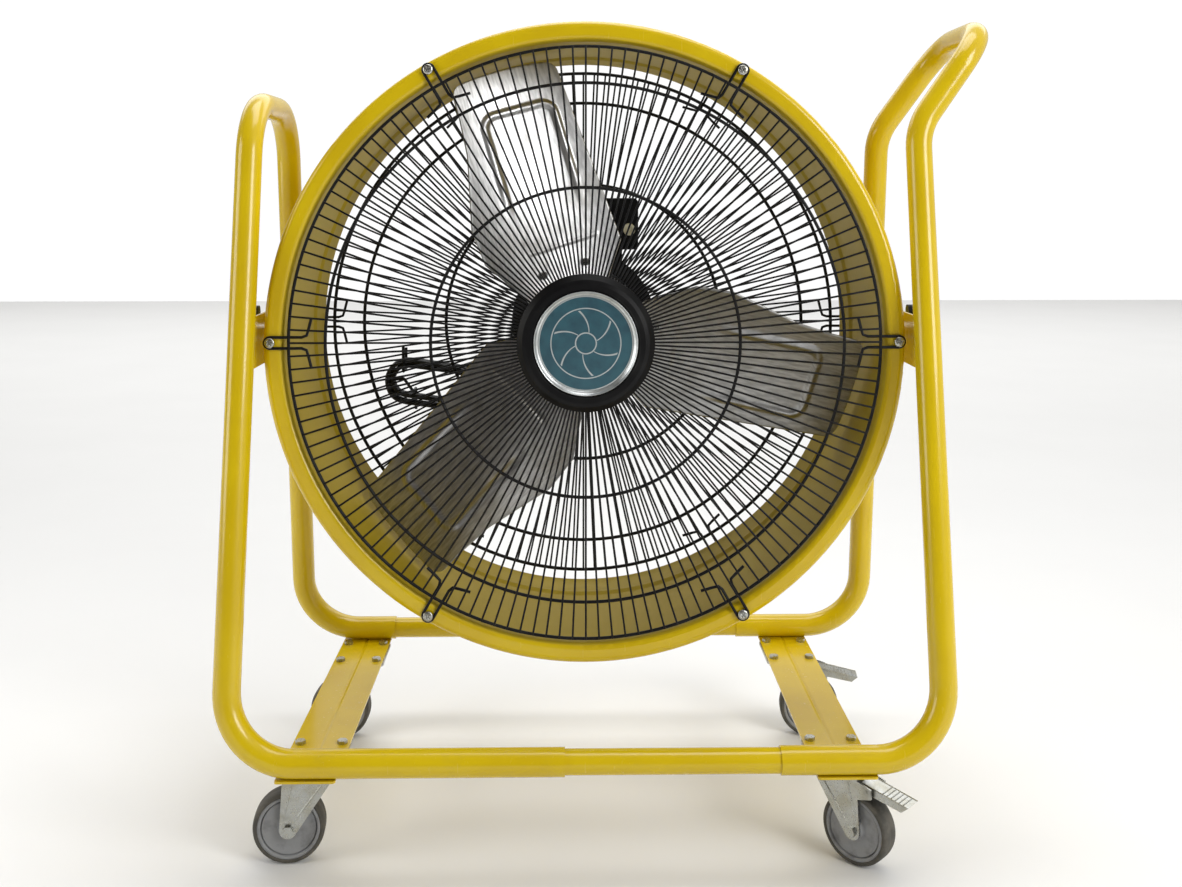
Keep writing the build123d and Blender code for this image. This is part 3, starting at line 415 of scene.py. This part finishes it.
for corner in ("front_right", "rear_right"):
    foot, ahead, across = castor_frame(corner)
    grips = []
    for k in range(6):
        u = 0.080 + 0.006 * k
        lift = Vector((0, 0, pedal_height(u) + 0.0002))
        grips.append([(tuple(foot + ahead * u + across * w + lift), 1) for w in (-0.0125, 0, 0.0125)])
    edges = []
    for w in (-0.0146, 0.0146):
        edges.append([
            (tuple(foot + ahead * u + across * w + Vector((0, 0, pedal_height(u)))), 1)
            for u in (0.050, 0.070, 0.090, 0.110, 0.1175)
        ])
    new_line("pedal_grips_" + corner, grips + edges, 0.0016, zinc, "pedal_" + corner)

# ------------------------------------------------------------------ drum shell
# Two millimetre sheet rolled into a drum, rims beaded over at both mouths, sprayed inside and out in
# the frame's yellow.  The big surface has slow waves from rolling and a dust film inside, and the inside
# is painted darker as painted shade and made matte like thin overspray.
SHELL_MOUTH_R = 0.4405
drum_low, drum_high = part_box("drum_shell")
AXIS_Z = (drum_low[2] + drum_high[2]) / 2
drum_enamel = enamel("drum yellow enamel", 0.04, (SHELL_MOUTH_R, AXIS_Z))
dress(drum_enamel, "drum_shell")

# ------------------------------------------------------------------ wire guards
# Hard-drawn wire welded to rings, with six hairpin lugs, then powder coated black.  The radial wires
# lie on the outer side of the rings and sink a little into them at each weld.
GUARD_WIRES = 140
FRONT_WIRE = 0.0030
FRONT_RING = 0.0048
REAR_WIRE = 0.0031
REAR_RING = 0.0055
FRONT_RINGS = (0.430, 0.377, 0.225, 0.095)
REAR_RINGS = (0.418, 0.368, 0.231, 0.115)
WIRE_PAST = 0.001
LUG_WIRE = 0.0044
LUG_HALF = 0.008
LUG_SCREW = 0.457
LUG_BEND = 0.406
LUG_END = 0.397
LUG_OUT = 0.036
BLACK_COAT = (0.004, 0.004, 0.0045)
BLACK_COAT_GREY = (0.016, 0.016, 0.016)
wire_coat, wire = finish_named("black powder coat")
place = wire.place()
dusting = wire.noise(place, 30.0, 4.0, 0.6).step(0.45, 0.8)
pebble = wire.noise(place, 700.0, 2.0)
close(
    wire,
    {
        "Base Color": dusting.tint(BLACK_COAT, BLACK_COAT_GREY),
        "Roughness": 0.34 + dusting * 0.25,
        "Specular IOR Level": 0.22,
    },
    pebble,
    0.00012,
)


def on_guard(radius, angle, y):
    return (radius * cos(angle), y, AXIS_Z + radius * sin(angle))


def ring_run(radius, y, factor, count=180):
    return [(on_guard(radius, 2 * pi * i / count, y), factor) for i in range(count)]


def lug_run(angle, y, factor):
    """One hairpin: an end bent sideways, a leg, the eye round the screw, and the same back."""
    flat = [(LUG_END, LUG_OUT), (LUG_END + 0.004, 0.020), (LUG_BEND - 0.002, 0.0105)]
    flat += [(LUG_BEND + 0.005, LUG_HALF), (LUG_SCREW - 0.01, LUG_HALF), (LUG_SCREW, LUG_HALF)]
    turns = [pi / 2 - pi * i / 10 for i in range(1, 10)]
    eye = [(LUG_SCREW + LUG_HALF * cos(turn), LUG_HALF * sin(turn)) for turn in turns]
    whole = flat + eye + [(r, -out) for r, out in reversed(flat)]
    out_x, out_z = cos(angle), sin(angle)
    return [((r * out_x - s * out_z, y, AXIS_Z + r * out_z + s * out_x), factor) for r, s in whole]


def make_guard(name, node, way, rings, wire_t, ring_t, lug_t):
    """way is -1 for the outlet and 1 for the inlet."""
    low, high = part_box(node)
    seat = high[1] if way < 0 else low[1]
    ring_y = seat + way * ring_t / 2
    wire_y = (low[1] if way < 0 else high[1]) - way * wire_t / 2
    runs = []
    for i in range(GUARD_WIRES):
        angle = 2 * pi * i / GUARD_WIRES
        inner = on_guard(rings[-1] - WIRE_PAST, angle, wire_y)
        outer = on_guard(rings[0] + WIRE_PAST, angle, wire_y)
        runs.append([(inner, 1), (outer, 1)])
    for i in range(6):
        runs.append(lug_run(radians(60 * i), seat + way * lug_t / 2, lug_t / wire_t))
    wires = new_line(name + "_wires", runs, wire_t, wire_coat, "drum")
    circles = [ring_run(radius, ring_y, 1) for radius in rings]
    hoops = new_line(name + "_rings", circles, ring_t, wire_coat, "drum", True, 4)
    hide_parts(node)
    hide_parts(node)


# Pan-head screws with a cross recess, through the eye of each lug.
SCREW_SHANK = 0.0025
SCREW_HEAD = 0.0073
SCREW_DOME = 0.0034
RECESS_ARM = 0.0042
RECESS_HALF = 0.0010
RECESS_DEPTH = 0.0022
HEAD_RINGS = 20
HEAD_TURNS = 64


def screw_mesh(name, spots, turns):
    """Pan heads with shanks: spots holds each head's seat point, the way it faces and its shank's length."""
    points, faces = [], []
    for number, (seat, way, shank) in enumerate(spots):
        rows = [(SCREW_SHANK * 0.2, -shank, False), (SCREW_SHANK, -shank, False), (SCREW_SHANK, 0.0, False)]
        rows += [(SCREW_HEAD, 0.0, False), (SCREW_HEAD, SCREW_DOME * 0.35, False)]
        for k in range(HEAD_RINGS, -1, -1):
            r = SCREW_HEAD * k / HEAD_RINGS
            dome = SCREW_DOME * (0.35 + 0.65 * sqrt(max(0.0, 1 - (r / SCREW_HEAD) ** 2.6)))
            rows.append((r, dome, True))
        base = len(points)
        spin = turns[number]
        for r, along, top in rows:
            for j in range(HEAD_TURNS):
                a = 2 * pi * j / HEAD_TURNS
                x, z = r * cos(a), r * sin(a)
                deep = along
                if top:
                    u, v = x * cos(spin) + z * sin(spin), -x * sin(spin) + z * cos(spin)
                    level = max(abs(u) - RECESS_ARM, abs(v) - RECESS_HALF)
                    upright = max(abs(v) - RECESS_ARM, abs(u) - RECESS_HALF)
                    arm = min(level, upright)
                    deep -= RECESS_DEPTH * eased(-arm / 0.0006)
                points.append((seat[0] + x, seat[1] + way * deep, seat[2] + z))
        for row in range(len(rows) - 1):
            for j in range(HEAD_TURNS):
                a, b = base + row * HEAD_TURNS + j, base + row * HEAD_TURNS + (j + 1) % HEAD_TURNS
                faces.append((a, b, b + HEAD_TURNS, a + HEAD_TURNS))
    mesh = bpy.data.meshes.new(name)
    mesh.from_pydata(points, [], faces)
    mesh.polygons.foreach_set("use_smooth", [True] * len(mesh.polygons))
    mesh.update()
    return mesh


def eased(x):
    x = max(0.0, min(1.0, x))
    return x * x * (3 - 2 * x)


screw_spots = []
for node, way in (("front_guard", -1), ("rear_guard", 1)):
    low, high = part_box(node)
    seat = (high[1] if way < 0 else low[1]) + way * LUG_WIRE
    for i in range(6):
        screw_spots.append((on_guard(LUG_SCREW, radians(60 * i), seat), way, 0.010))
screws = new_piece(
    screw_mesh("lug_screws", screw_spots, [0.3 + 1.7 * i for i in range(12)]),
    "lug_screws", zinc, "drum",
)
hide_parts("guard_screws")

make_guard("front_guard", "front_guard", -1, FRONT_RINGS, FRONT_WIRE, FRONT_RING, LUG_WIRE)
make_guard("rear_guard", "rear_guard", 1, REAR_RINGS, REAR_WIRE, REAR_RING, LUG_WIRE)
dress(wire_coat, "motor_plate", "cord_hooks")

# ------------------------------------------------------------------ hub cap and badge
# Moulded black cap clipped over the guard's inner ring, with a bevelled silver cup that holds a
# domed teal badge printed with a plain three-blade sign.
CAP_BLACK = (0.004, 0.004, 0.0045)
CAP_GREY = (0.010, 0.010, 0.010)
cap_plastic, wire = finish_named("moulded black plastic")
place = wire.place()
haze = wire.noise(place, 26.0, 4.0)
grain = wire.noise(place, 1300.0, 2.0)
close(
    wire,
    {
        "Base Color": haze.step(0.4, 0.8).tint(CAP_BLACK, CAP_GREY),
        "Roughness": 0.30 + haze * 0.18,
        "Specular IOR Level": 0.16,
    },
    grain,
    0.00006,
)
dress(cap_plastic, "hub_cap", "junction_box", "box_lid", "cable_gland", "tilt_knob_left", "tilt_knob_right")

TEAL = (0.026, 0.098, 0.128)
TEAL_DEEP = (0.016, 0.062, 0.088)
SILVER_INK = (0.62, 0.66, 0.66)
badge_print, wire = finish_named("printed teal badge")
place = wire.place((1, 1, 1), (0, 0, -AXIS_Z))
across = wire.node("SeparateXYZ", {}, {"Vector": place}, 0)
upward = wire.node("SeparateXYZ", {}, {"Vector": place}, 2)
radius = wire.node("Math", {"operation": "SQRT"}, {0: across * across + upward * upward})
angle = wire.node("Math", {"operation": "ARCTAN2"}, {0: upward, 1: across})
swirl = wire.node("Math", {"operation": "SINE"}, {0: angle * 3 - radius * 46})
blade_line = 1 - wire.node("Math", {"operation": "ABSOLUTE"}, {0: swirl}).step(0.06, 0.13)
inside = (1 - radius.step(0.0475, 0.0480)) * radius.step(0.0160, 0.0165)
outer_line = 1 - wire.node("Math", {"operation": "ABSOLUTE"}, {0: radius - 0.0505}).step(0.0006, 0.0010)
inner_line = 1 - wire.node("Math", {"operation": "ABSOLUTE"}, {0: radius - 0.0150}).step(0.0007, 0.0011)
ink = wire.maths("MAXIMUM", wire.maths("MAXIMUM", blade_line * inside, outer_line), inner_line)
rim_foil = radius.step(0.0668, 0.0672)
ink = wire.maths("MAXIMUM", ink, rim_foil)
mottle = wire.noise(place, 60.0, 3.0)
close(
    wire,
    {
        "Base Color": ink.tint(mottle.step(0.3, 0.8).tint(TEAL, TEAL_DEEP), SILVER_INK),
        "Metallic": ink * 0.8,
        "Roughness": 0.30 + mottle * 0.08,
        "Coat Weight": 0.4,
        "Coat Roughness": 0.08,
    },
    ink,
    0.00008,
)
dress(badge_print, "badge")

bright_foil, wire = finish_named("silver foil ring")
place = wire.place()
scratch = wire.noise(wire.place((1, 6, 1)), 300.0, 2.0)
tarnish = wire.noise(place, 50.0, 4.0, 0.6)
close(
    wire,
    {
        "Base Color": tarnish.step(0.4, 0.8).tint((0.66, 0.68, 0.68), (0.42, 0.43, 0.42)),
        "Metallic": 0.9,
        "Roughness": 0.24 + tarnish * 0.14,
    },
    scratch,
    0.00004,
)
BADGE_RING = (
    (0.0690, 0.0035), (0.0692, 0.0052), (0.0704, 0.0060), (0.0722, 0.0070), (0.0738, 0.0094),
    (0.0746, 0.0110),
    (0.0752, 0.0109), (0.0748, 0.0080), (0.0730, 0.0045), (0.0690, 0.0035),
)
badge_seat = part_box("badge")[1][1]
new_piece(
    turned("badge_ring", BADGE_RING, (0, badge_seat, AXIS_Z), (0, -1, 0)),
    "badge_ring", bright_foil, "drum",
)

# ------------------------------------------------------------------ motor
# Die-cast finned motor with two end bells, painted dark grey, on the guard's centre plate; its
# windings, core and bearings are closed in.
MOTOR_GREY = (0.030, 0.031, 0.033)
MOTOR_WORN = (0.075, 0.076, 0.078)
motor_paint, wire = finish_named("cast motor paint")
place = wire.place()
cast = wire.noise(place, 340.0, 4.0, 0.6)
dirt = wire.noise(place, 18.0, 5.0, 0.65)
close(
    wire,
    {"Base Color": dirt.step(0.45, 0.78).tint(MOTOR_GREY, MOTOR_WORN), "Roughness": 0.45 + dirt * 0.25},
    cast,
    0.0004,
)
dress(motor_paint, "motor_housing", "motor_rear_bell", "motor_front_bell")

TURNED = (0.56, 0.57, 0.57)
TURNED_OILY = (0.36, 0.35, 0.31)
turned_steel, wire = finish_named("turned steel")
place = wire.place()
ALONG_AXIS = {"wave_type": "BANDS", "bands_direction": "Y"}
lines = wire.node("TexWave", ALONG_AXIS, {"Vector": place, "Scale": 900.0, "Distortion": 0.6}, 1)
oil = wire.noise(place, 60.0, 4.0)
close(
    wire,
    {
        "Base Color": oil.step(0.4, 0.75).tint(TURNED, TURNED_OILY),
        "Metallic": 1.0,
        "Roughness": 0.22 + oil * 0.2,
    },
    lines,
    0.00003,
)
dress(turned_steel, "motor_shaft", "motor_bearings")

LAMINATION = (0.11, 0.11, 0.115)
LAMINATION_RUST = (0.12, 0.075, 0.045)
core_steel, wire = finish_named("stacked core sheets")
place = wire.place()
sheets = wire.node("TexWave", ALONG_AXIS, {"Vector": place, "Scale": 320.0, "Distortion": 0.2}, 1)
rust = wire.noise(place, 70.0, 5.0, 0.7).step(0.50, 0.74)
close(
    wire,
    {
        "Base Color": rust.tint(LAMINATION, LAMINATION_RUST),
        "Metallic": 0.7 - rust * 0.5,
        "Roughness": 0.5 + rust * 0.3,
    },
    sheets,
    0.0001,
)
dress(core_steel, "stator_core", "rotor_core")

# ------------------------------------------------------------------ fan wheel
# Three blades stamped from two millimetre aluminium with a stiffening rib pressed into each, riveted
# to a black cast spider on the motor shaft.  Mill finish, with rolling lines along the sheet.
BLADE_TIP = 0.428
BLADE_ROOT = 0.062
BLADE_CAMBER = 0.472
BLADE_PITCH = radians(24)
BLADE_AHEAD = 0.012
BLADE_SHEET = 0.002
BLADE_FIRST = 107
HIGH_SIDE = (
    (0.062, 0.062), (0.150, 0.112), (0.210, 0.116), (0.320, 0.091), (0.376, 0.0865), (0.430, 0.0855),
)
LOW_SIDE = ((0.062, 0.056), (0.122, 0.098), (0.170, 0.095), (0.336, 0.084), (0.430, 0.0780))
TIP_CORNER = 0.016
RIB_OUT = 0.362
RIB_HALF = 0.056
RIB_CORNER = 0.020
RIB_WIDTH = 0.0075
RIB_HEIGHT = 0.0030
CREASE_AT = 0.141
CREASE_WIDTH = 0.0030
CREASE_HEIGHT = 0.0016


def between(line, u):
    for (u0, v0), (u1, v1) in zip(line, line[1:]):
        if u <= u1:
            return v0 + (v1 - v0) * (u - u0) / (u1 - u0)
    return line[-1][1]


def bump_of(distance, width):
    d = abs(distance) / width
    return (1 - d * d) ** 2 if d < 1 else 0.0


def blade_point(u, v):
    """Where the blade's middle surface is: along the blade, across it and ahead of the axis plane."""
    rib_u = abs(u - 0.100) - (RIB_OUT - 0.100 - RIB_CORNER)
    rib_v = abs(v) - (RIB_HALF - RIB_CORNER)
    rib = hypot(max(rib_u, 0), max(rib_v, 0)) + min(max(rib_u, rib_v), 0) - RIB_CORNER
    press = RIB_HEIGHT * bump_of(rib, RIB_WIDTH) * eased((u - 0.185) / 0.070)
    crease_fade = eased((0.060 - abs(v + 0.008)) / 0.008)
    press += CREASE_HEIGHT * bump_of(u - CREASE_AT - 0.10 * (v * v), CREASE_WIDTH) * crease_fade
    turn = v + BLADE_CAMBER * sin(BLADE_PITCH)
    drop = sqrt(BLADE_CAMBER**2 - turn * turn)
    ahead = BLADE_AHEAD + BLADE_CAMBER * cos(BLADE_PITCH) - drop
    normal_v, normal_w = -turn / BLADE_CAMBER, drop / BLADE_CAMBER
    return u, v + press * normal_v, ahead + press * normal_w


def blade_mesh(name, angle):
    along, over = 150, 84
    points = []
    for i in range(along + 1):
        s = i / along
        reach = BLADE_ROOT + s * (BLADE_TIP - BLADE_ROOT)
        from_tip = BLADE_TIP - reach
        trim = 0.0
        if from_tip < TIP_CORNER:
            trim = TIP_CORNER - sqrt(TIP_CORNER**2 - (TIP_CORNER - from_tip) ** 2)
        for j in range(over + 1):
            t = j / over
            v = -(between(LOW_SIDE, reach) - trim) * (1 - t) + (between(HIGH_SIDE, reach) - trim) * t
            edge = sqrt(BLADE_TIP**2 - v * v)
            u = BLADE_ROOT + s * (edge - BLADE_ROOT)
            u, v, w = blade_point(u, v)
            x = u * cos(angle) - v * sin(angle)
            z = u * sin(angle) + v * cos(angle)
            points.append((x, -w, AXIS_Z + z))
    faces = []
    for i in range(along):
        for j in range(over):
            a = i * (over + 1) + j
            faces.append((a, a + 1, a + over + 2, a + over + 1))
    mesh = bpy.data.meshes.new(name)
    mesh.from_pydata(points, [], faces)
    mesh.polygons.foreach_set("use_smooth", [True] * len(mesh.polygons))
    mesh.update()
    return mesh


SHEET = (0.56, 0.56, 0.56)
SHEET_GREY = (0.36, 0.36, 0.36)
SHEET_FILM = (0.26, 0.24, 0.20)
blade_metal, wire = finish_named("mill finish aluminium")
place = wire.place()
streak = wire.noise(wire.place((5, 60, 5)), 9.0, 3.0)
film = wire.noise(place, 9.0, 5.0, 0.6).step(0.48, 0.80)
hair = wire.noise(wire.place((1, 30, 1)), 300.0, 2.0)
pitting = wire.noise(place, 240.0, 3.0)
close(
    wire,
    {
        "Base Color": (film * 0.45).tint(streak.step(0.3, 0.7).tint(SHEET, SHEET_GREY), SHEET_FILM),
        "Metallic": 0.9 - film * 0.2,
        "Roughness": 0.27 + film * 0.18 + streak * 0.08,
    },
    hair * 0.4 + pitting * 0.4,
    0.00006,
)
for number in (1, 2, 3):
    angle = radians(BLADE_FIRST + 120 * (number - 1))
    node = "blade_" + str(number)
    blade = blade_mesh("pressed_" + node, angle)
    pressed = new_piece(blade, "pressed_" + node, blade_metal, "impeller")
    thick = pressed.modifiers.new("sheet", "SOLIDIFY")
    thick.thickness = BLADE_SHEET
    thick.offset = 0
    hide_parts(node)

SPIDER = (0.030, 0.030, 0.031)
SPIDER_WORN = (0.10, 0.10, 0.10)
spider_cast, wire = finish_named("black cast spider")
place = wire.place()
sand = wire.noise(place, 420.0, 4.0, 0.6)
wear = wire.noise(place, 34.0, 4.0, 0.6)
close(
    wire,
    {"Base Color": wear.step(0.55, 0.8).tint(SPIDER, SPIDER_WORN), "Roughness": 0.5 + wear * 0.2},
    sand,
    0.0004,
)
dress(spider_cast, "fan_hub")

# ------------------------------------------------------------------ blanking plug
# Cream nylon plug snapped into the box lid's spare cable hole, slightly yellowed.
CREAM = (0.66, 0.63, 0.47)
CREAM_AGED = (0.56, 0.50, 0.31)
cream_nylon, wire = finish_named("cream nylon")
place = wire.place()
aged = wire.noise(place, 120.0, 3.0)
grain = wire.noise(place, 1500.0, 2.0)
close(
    wire,
    {
        "Base Color": aged.step(0.35, 0.75).tint(CREAM, CREAM_AGED),
        "Roughness": 0.38 + aged * 0.15,
        "Subsurface Weight": 0.12,
        "Subsurface Radius": (0.004, 0.003, 0.002),
    },
    grain,
    0.00004,
)
dress(cream_nylon, "blanking_plug")

# ------------------------------------------------------------------ supply cord and plug
# Eight millimetre black rubber lead: straight out of its gland behind the drum, down, then wound in
# a loose flat hank over two wire hooks, and ending in a moulded two-pin plug.
CORD_D = 0.008
CORD_BLACK = (0.012, 0.012, 0.012)
CORD_CHALK = (0.045, 0.044, 0.042)
cord_rubber, wire = finish_named("black cord rubber")
place = wire.place()
chalk = wire.noise(place, 44.0, 5.0, 0.65)
skin = wire.noise(place, 800.0, 3.0)
close(
    wire,
    {"Base Color": chalk.step(0.48, 0.82).tint(CORD_BLACK, CORD_CHALK), "Roughness": 0.50 + chalk * 0.25},
    skin,
    0.0001,
)
coil_low, coil_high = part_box("cord_coil")
COIL_X, COIL_Z = -0.258, 0.610
COIL_TILT = radians(-8)
COIL_HALF_W, COIL_HALF_H = 0.0712, 0.0294
COIL_Y = (coil_low[1] + coil_high[1]) / 2
gland_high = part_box("cable_gland")[1]
GLAND = (0.010, gland_high[1], 0.886)
cord_points = [
    GLAND,
    (GLAND[0] - 0.004, GLAND[1] + 0.076, GLAND[2] - 0.006),
    (GLAND[0] - 0.058, GLAND[1] + 0.084, GLAND[2] - 0.086),
    (GLAND[0] - 0.092, GLAND[1] + 0.062, GLAND[2] - 0.172),
    (GLAND[0] - 0.160, COIL_Y + 0.032, COIL_Z + 0.042),
    (COIL_X + 0.058, COIL_Y + 0.0122, COIL_Z + 0.0281),
    (COIL_X + 0.036, COIL_Y + 0.002, COIL_Z + 0.022),
    (COIL_X + 0.0195, COIL_Y + 0.0068, COIL_Z + 0.0224),
]
STRAIGHT = 2 * (COIL_HALF_W - COIL_HALF_H)


def hank_point(s, swell):
    """A point s metres round one turn, counted from the middle of its top, going left."""
    half_h = COIL_HALF_H + swell
    bend = pi * half_h
    s = s % (2 * STRAIGHT + 2 * bend)
    if s < STRAIGHT / 2:
        x, z = -s, half_h
    elif s < STRAIGHT / 2 + bend:
        turn = (s - STRAIGHT / 2) / half_h
        x, z = -STRAIGHT / 2 - half_h * sin(turn), half_h * cos(turn)
    elif s < 1.5 * STRAIGHT + bend:
        x, z = -STRAIGHT / 2 + (s - STRAIGHT / 2 - bend), -half_h
    elif s < 1.5 * STRAIGHT + 2 * bend:
        turn = (s - 1.5 * STRAIGHT - bend) / half_h
        x, z = STRAIGHT / 2 + half_h * sin(turn), -half_h * cos(turn)
    else:
        x, z = STRAIGHT / 2 - (s - 1.5 * STRAIGHT - 2 * bend), half_h
    return x, z


TURN_POINTS = 26
INNER_TURNS = 2.8
ALL_TURNS = 5.6
PITCH = 0.0082
for i in range(int(ALL_TURNS * TURN_POINTS) + 1):
    turns = i / TURN_POINTS
    outer = eased((turns - INNER_TURNS + 0.3) / 0.6)
    swell = 0.0042 * (2 * outer - 1)
    around = 2 * STRAIGHT + 2 * pi * (COIL_HALF_H + swell)
    x, z = hank_point(turns * around, swell)
    z -= 0.0035 * outer * eased(-z / 0.03)
    layer = turns if turns < INNER_TURNS else ALL_TURNS - turns
    cord_points.append(
        (
            COIL_X + x * cos(COIL_TILT) - z * sin(COIL_TILT),
            COIL_Y + 0.0115 - PITCH * layer,
            COIL_Z + x * sin(COIL_TILT) + z * cos(COIL_TILT),
        )
    )
cord_points.append((COIL_X + 0.046, COIL_Y + 0.009, COIL_Z - 0.0438))
cord_points.append((COIL_X + 0.058, COIL_Y + 0.003, COIL_Z - 0.0450))
cord_points.append((COIL_X + 0.068, COIL_Y - 0.004, COIL_Z - 0.0468))
cord_points.append((COIL_X + 0.078, COIL_Y - 0.008, COIL_Z - 0.0505))
cord_curve = bpy.data.curves.new("supply_cord", "CURVE")
cord_curve.dimensions = "3D"
cord_curve.bevel_depth = CORD_D / 2
cord_curve.bevel_resolution = 4
cord_curve.resolution_u = 6
cord_curve.use_fill_caps = True
cord_spline = cord_curve.splines.new("NURBS")
cord_spline.points.add(len(cord_points) - 1)
for target, point in zip(cord_spline.points, cord_points):
    target.co = (*point, 1)
cord_spline.order_u = 3
cord_spline.use_endpoint_u = True
supply_cord = new_piece(cord_curve, "supply_cord", cord_rubber, "drum")
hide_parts("power_cord", "cord_coil")
dress(cord_rubber, "power_plug")

# ------------------------------------------------------------------ room, light and camera
# A plain pale floor under broad soft lights, seen from in front of the outlet at chest height.  The
# room is white to the eye and darker on the left and behind for what the metal reflects.
floor_mesh = bpy.data.meshes.new("floor")
floor_mesh.from_pydata([(-9, -7, 0), (9, -7, 0), (9, 9, 0), (-9, 9, 0)], [], [(0, 1, 2, 3)])
floor = bpy.data.objects.new("floor", floor_mesh)
bpy.context.scene.collection.objects.link(floor)
pale_floor, wire = finish_named("pale floor")
wash = wire.noise(wire.place(), 2.0, 4.0)
close(wire, {"Base Color": wash.tint((0.80, 0.80, 0.79), (0.84, 0.84, 0.83)), "Roughness": 0.6})
floor_mesh.materials.append(pale_floor)

world = bpy.data.worlds.new("studio")
world.use_nodes = True
world.node_tree.nodes.clear()
sky = Wire(world.node_tree)
toward = sky.node("TexCoord", out=0)
to_x = sky.node("SeparateXYZ", {}, {"Vector": toward}, 0)
to_y = sky.node("SeparateXYZ", {}, {"Vector": toward}, 1)
seen_straight = sky.node("LightPath", out=0)
open_side = sky.maths("MAXIMUM", (to_x * 0.9 + to_y * 0.8).step(-0.75, 0.35), seen_straight)
ROOM_DARK, ROOM_LIGHT = (0.22, 0.20, 0.18), (1.0, 1.0, 1.0)
room_colour = open_side.tint(ROOM_DARK, ROOM_LIGHT)
walls = sky.node("Background", {}, {"Color": room_colour, "Strength": 0.62 + seen_straight * 0.40})
sky.node("OutputWorld", {}, {"Surface": walls})
bpy.context.scene.world = world
bpy.context.scene.view_settings.view_transform = "Standard"


def soft_light(name, place, aim, size, power):
    light = bpy.data.lights.new(name, "AREA")
    light.shape = "RECTANGLE"
    light.size, light.size_y = size
    light.energy = power
    lamp = bpy.data.objects.new(name, light)
    lamp.location = place
    lamp.rotation_euler = (Vector(aim) - Vector(place)).to_track_quat("-Z", "Y").to_euler()
    bpy.context.scene.collection.objects.link(lamp)


soft_light("key", (2.5, -2.3, 1.9), (0, 0, 0.7), (1.3, 1.8), 66)
soft_light("fill", (-3.0, -0.9, 1.3), (0, 0, 0.6), (1.4, 2.0), 36)
soft_light("top", (0.2, 0.2, 3.4), (0, 0, 0.6), (2.4, 1.6), 46)
soft_light("backdrop", (0, 6.0, 5.0), (0, 6.4, 0), (14, 6), 420)

PHOTO_WIDTH = 1182        # px; the next two are measured in the same px
LENS_MM = 1285 / PHOTO_WIDTH * 36       # 36 mm is the sensor's width
LENS_DROP = 252 / PHOTO_WIDTH
camera_data = bpy.data.cameras.new("camera")
camera_data.sensor_width = 36
camera_data.lens = LENS_MM
camera_data.shift_y = -LENS_DROP
camera_data.clip_start = 0.05
camera = bpy.data.objects.new("camera", camera_data)
camera.location = (-0.025, -2.016, 0.936)
camera.rotation_euler = (radians(90), 0, radians(-1.0))
bpy.context.scene.collection.objects.link(camera)
bpy.context.scene.camera = camera
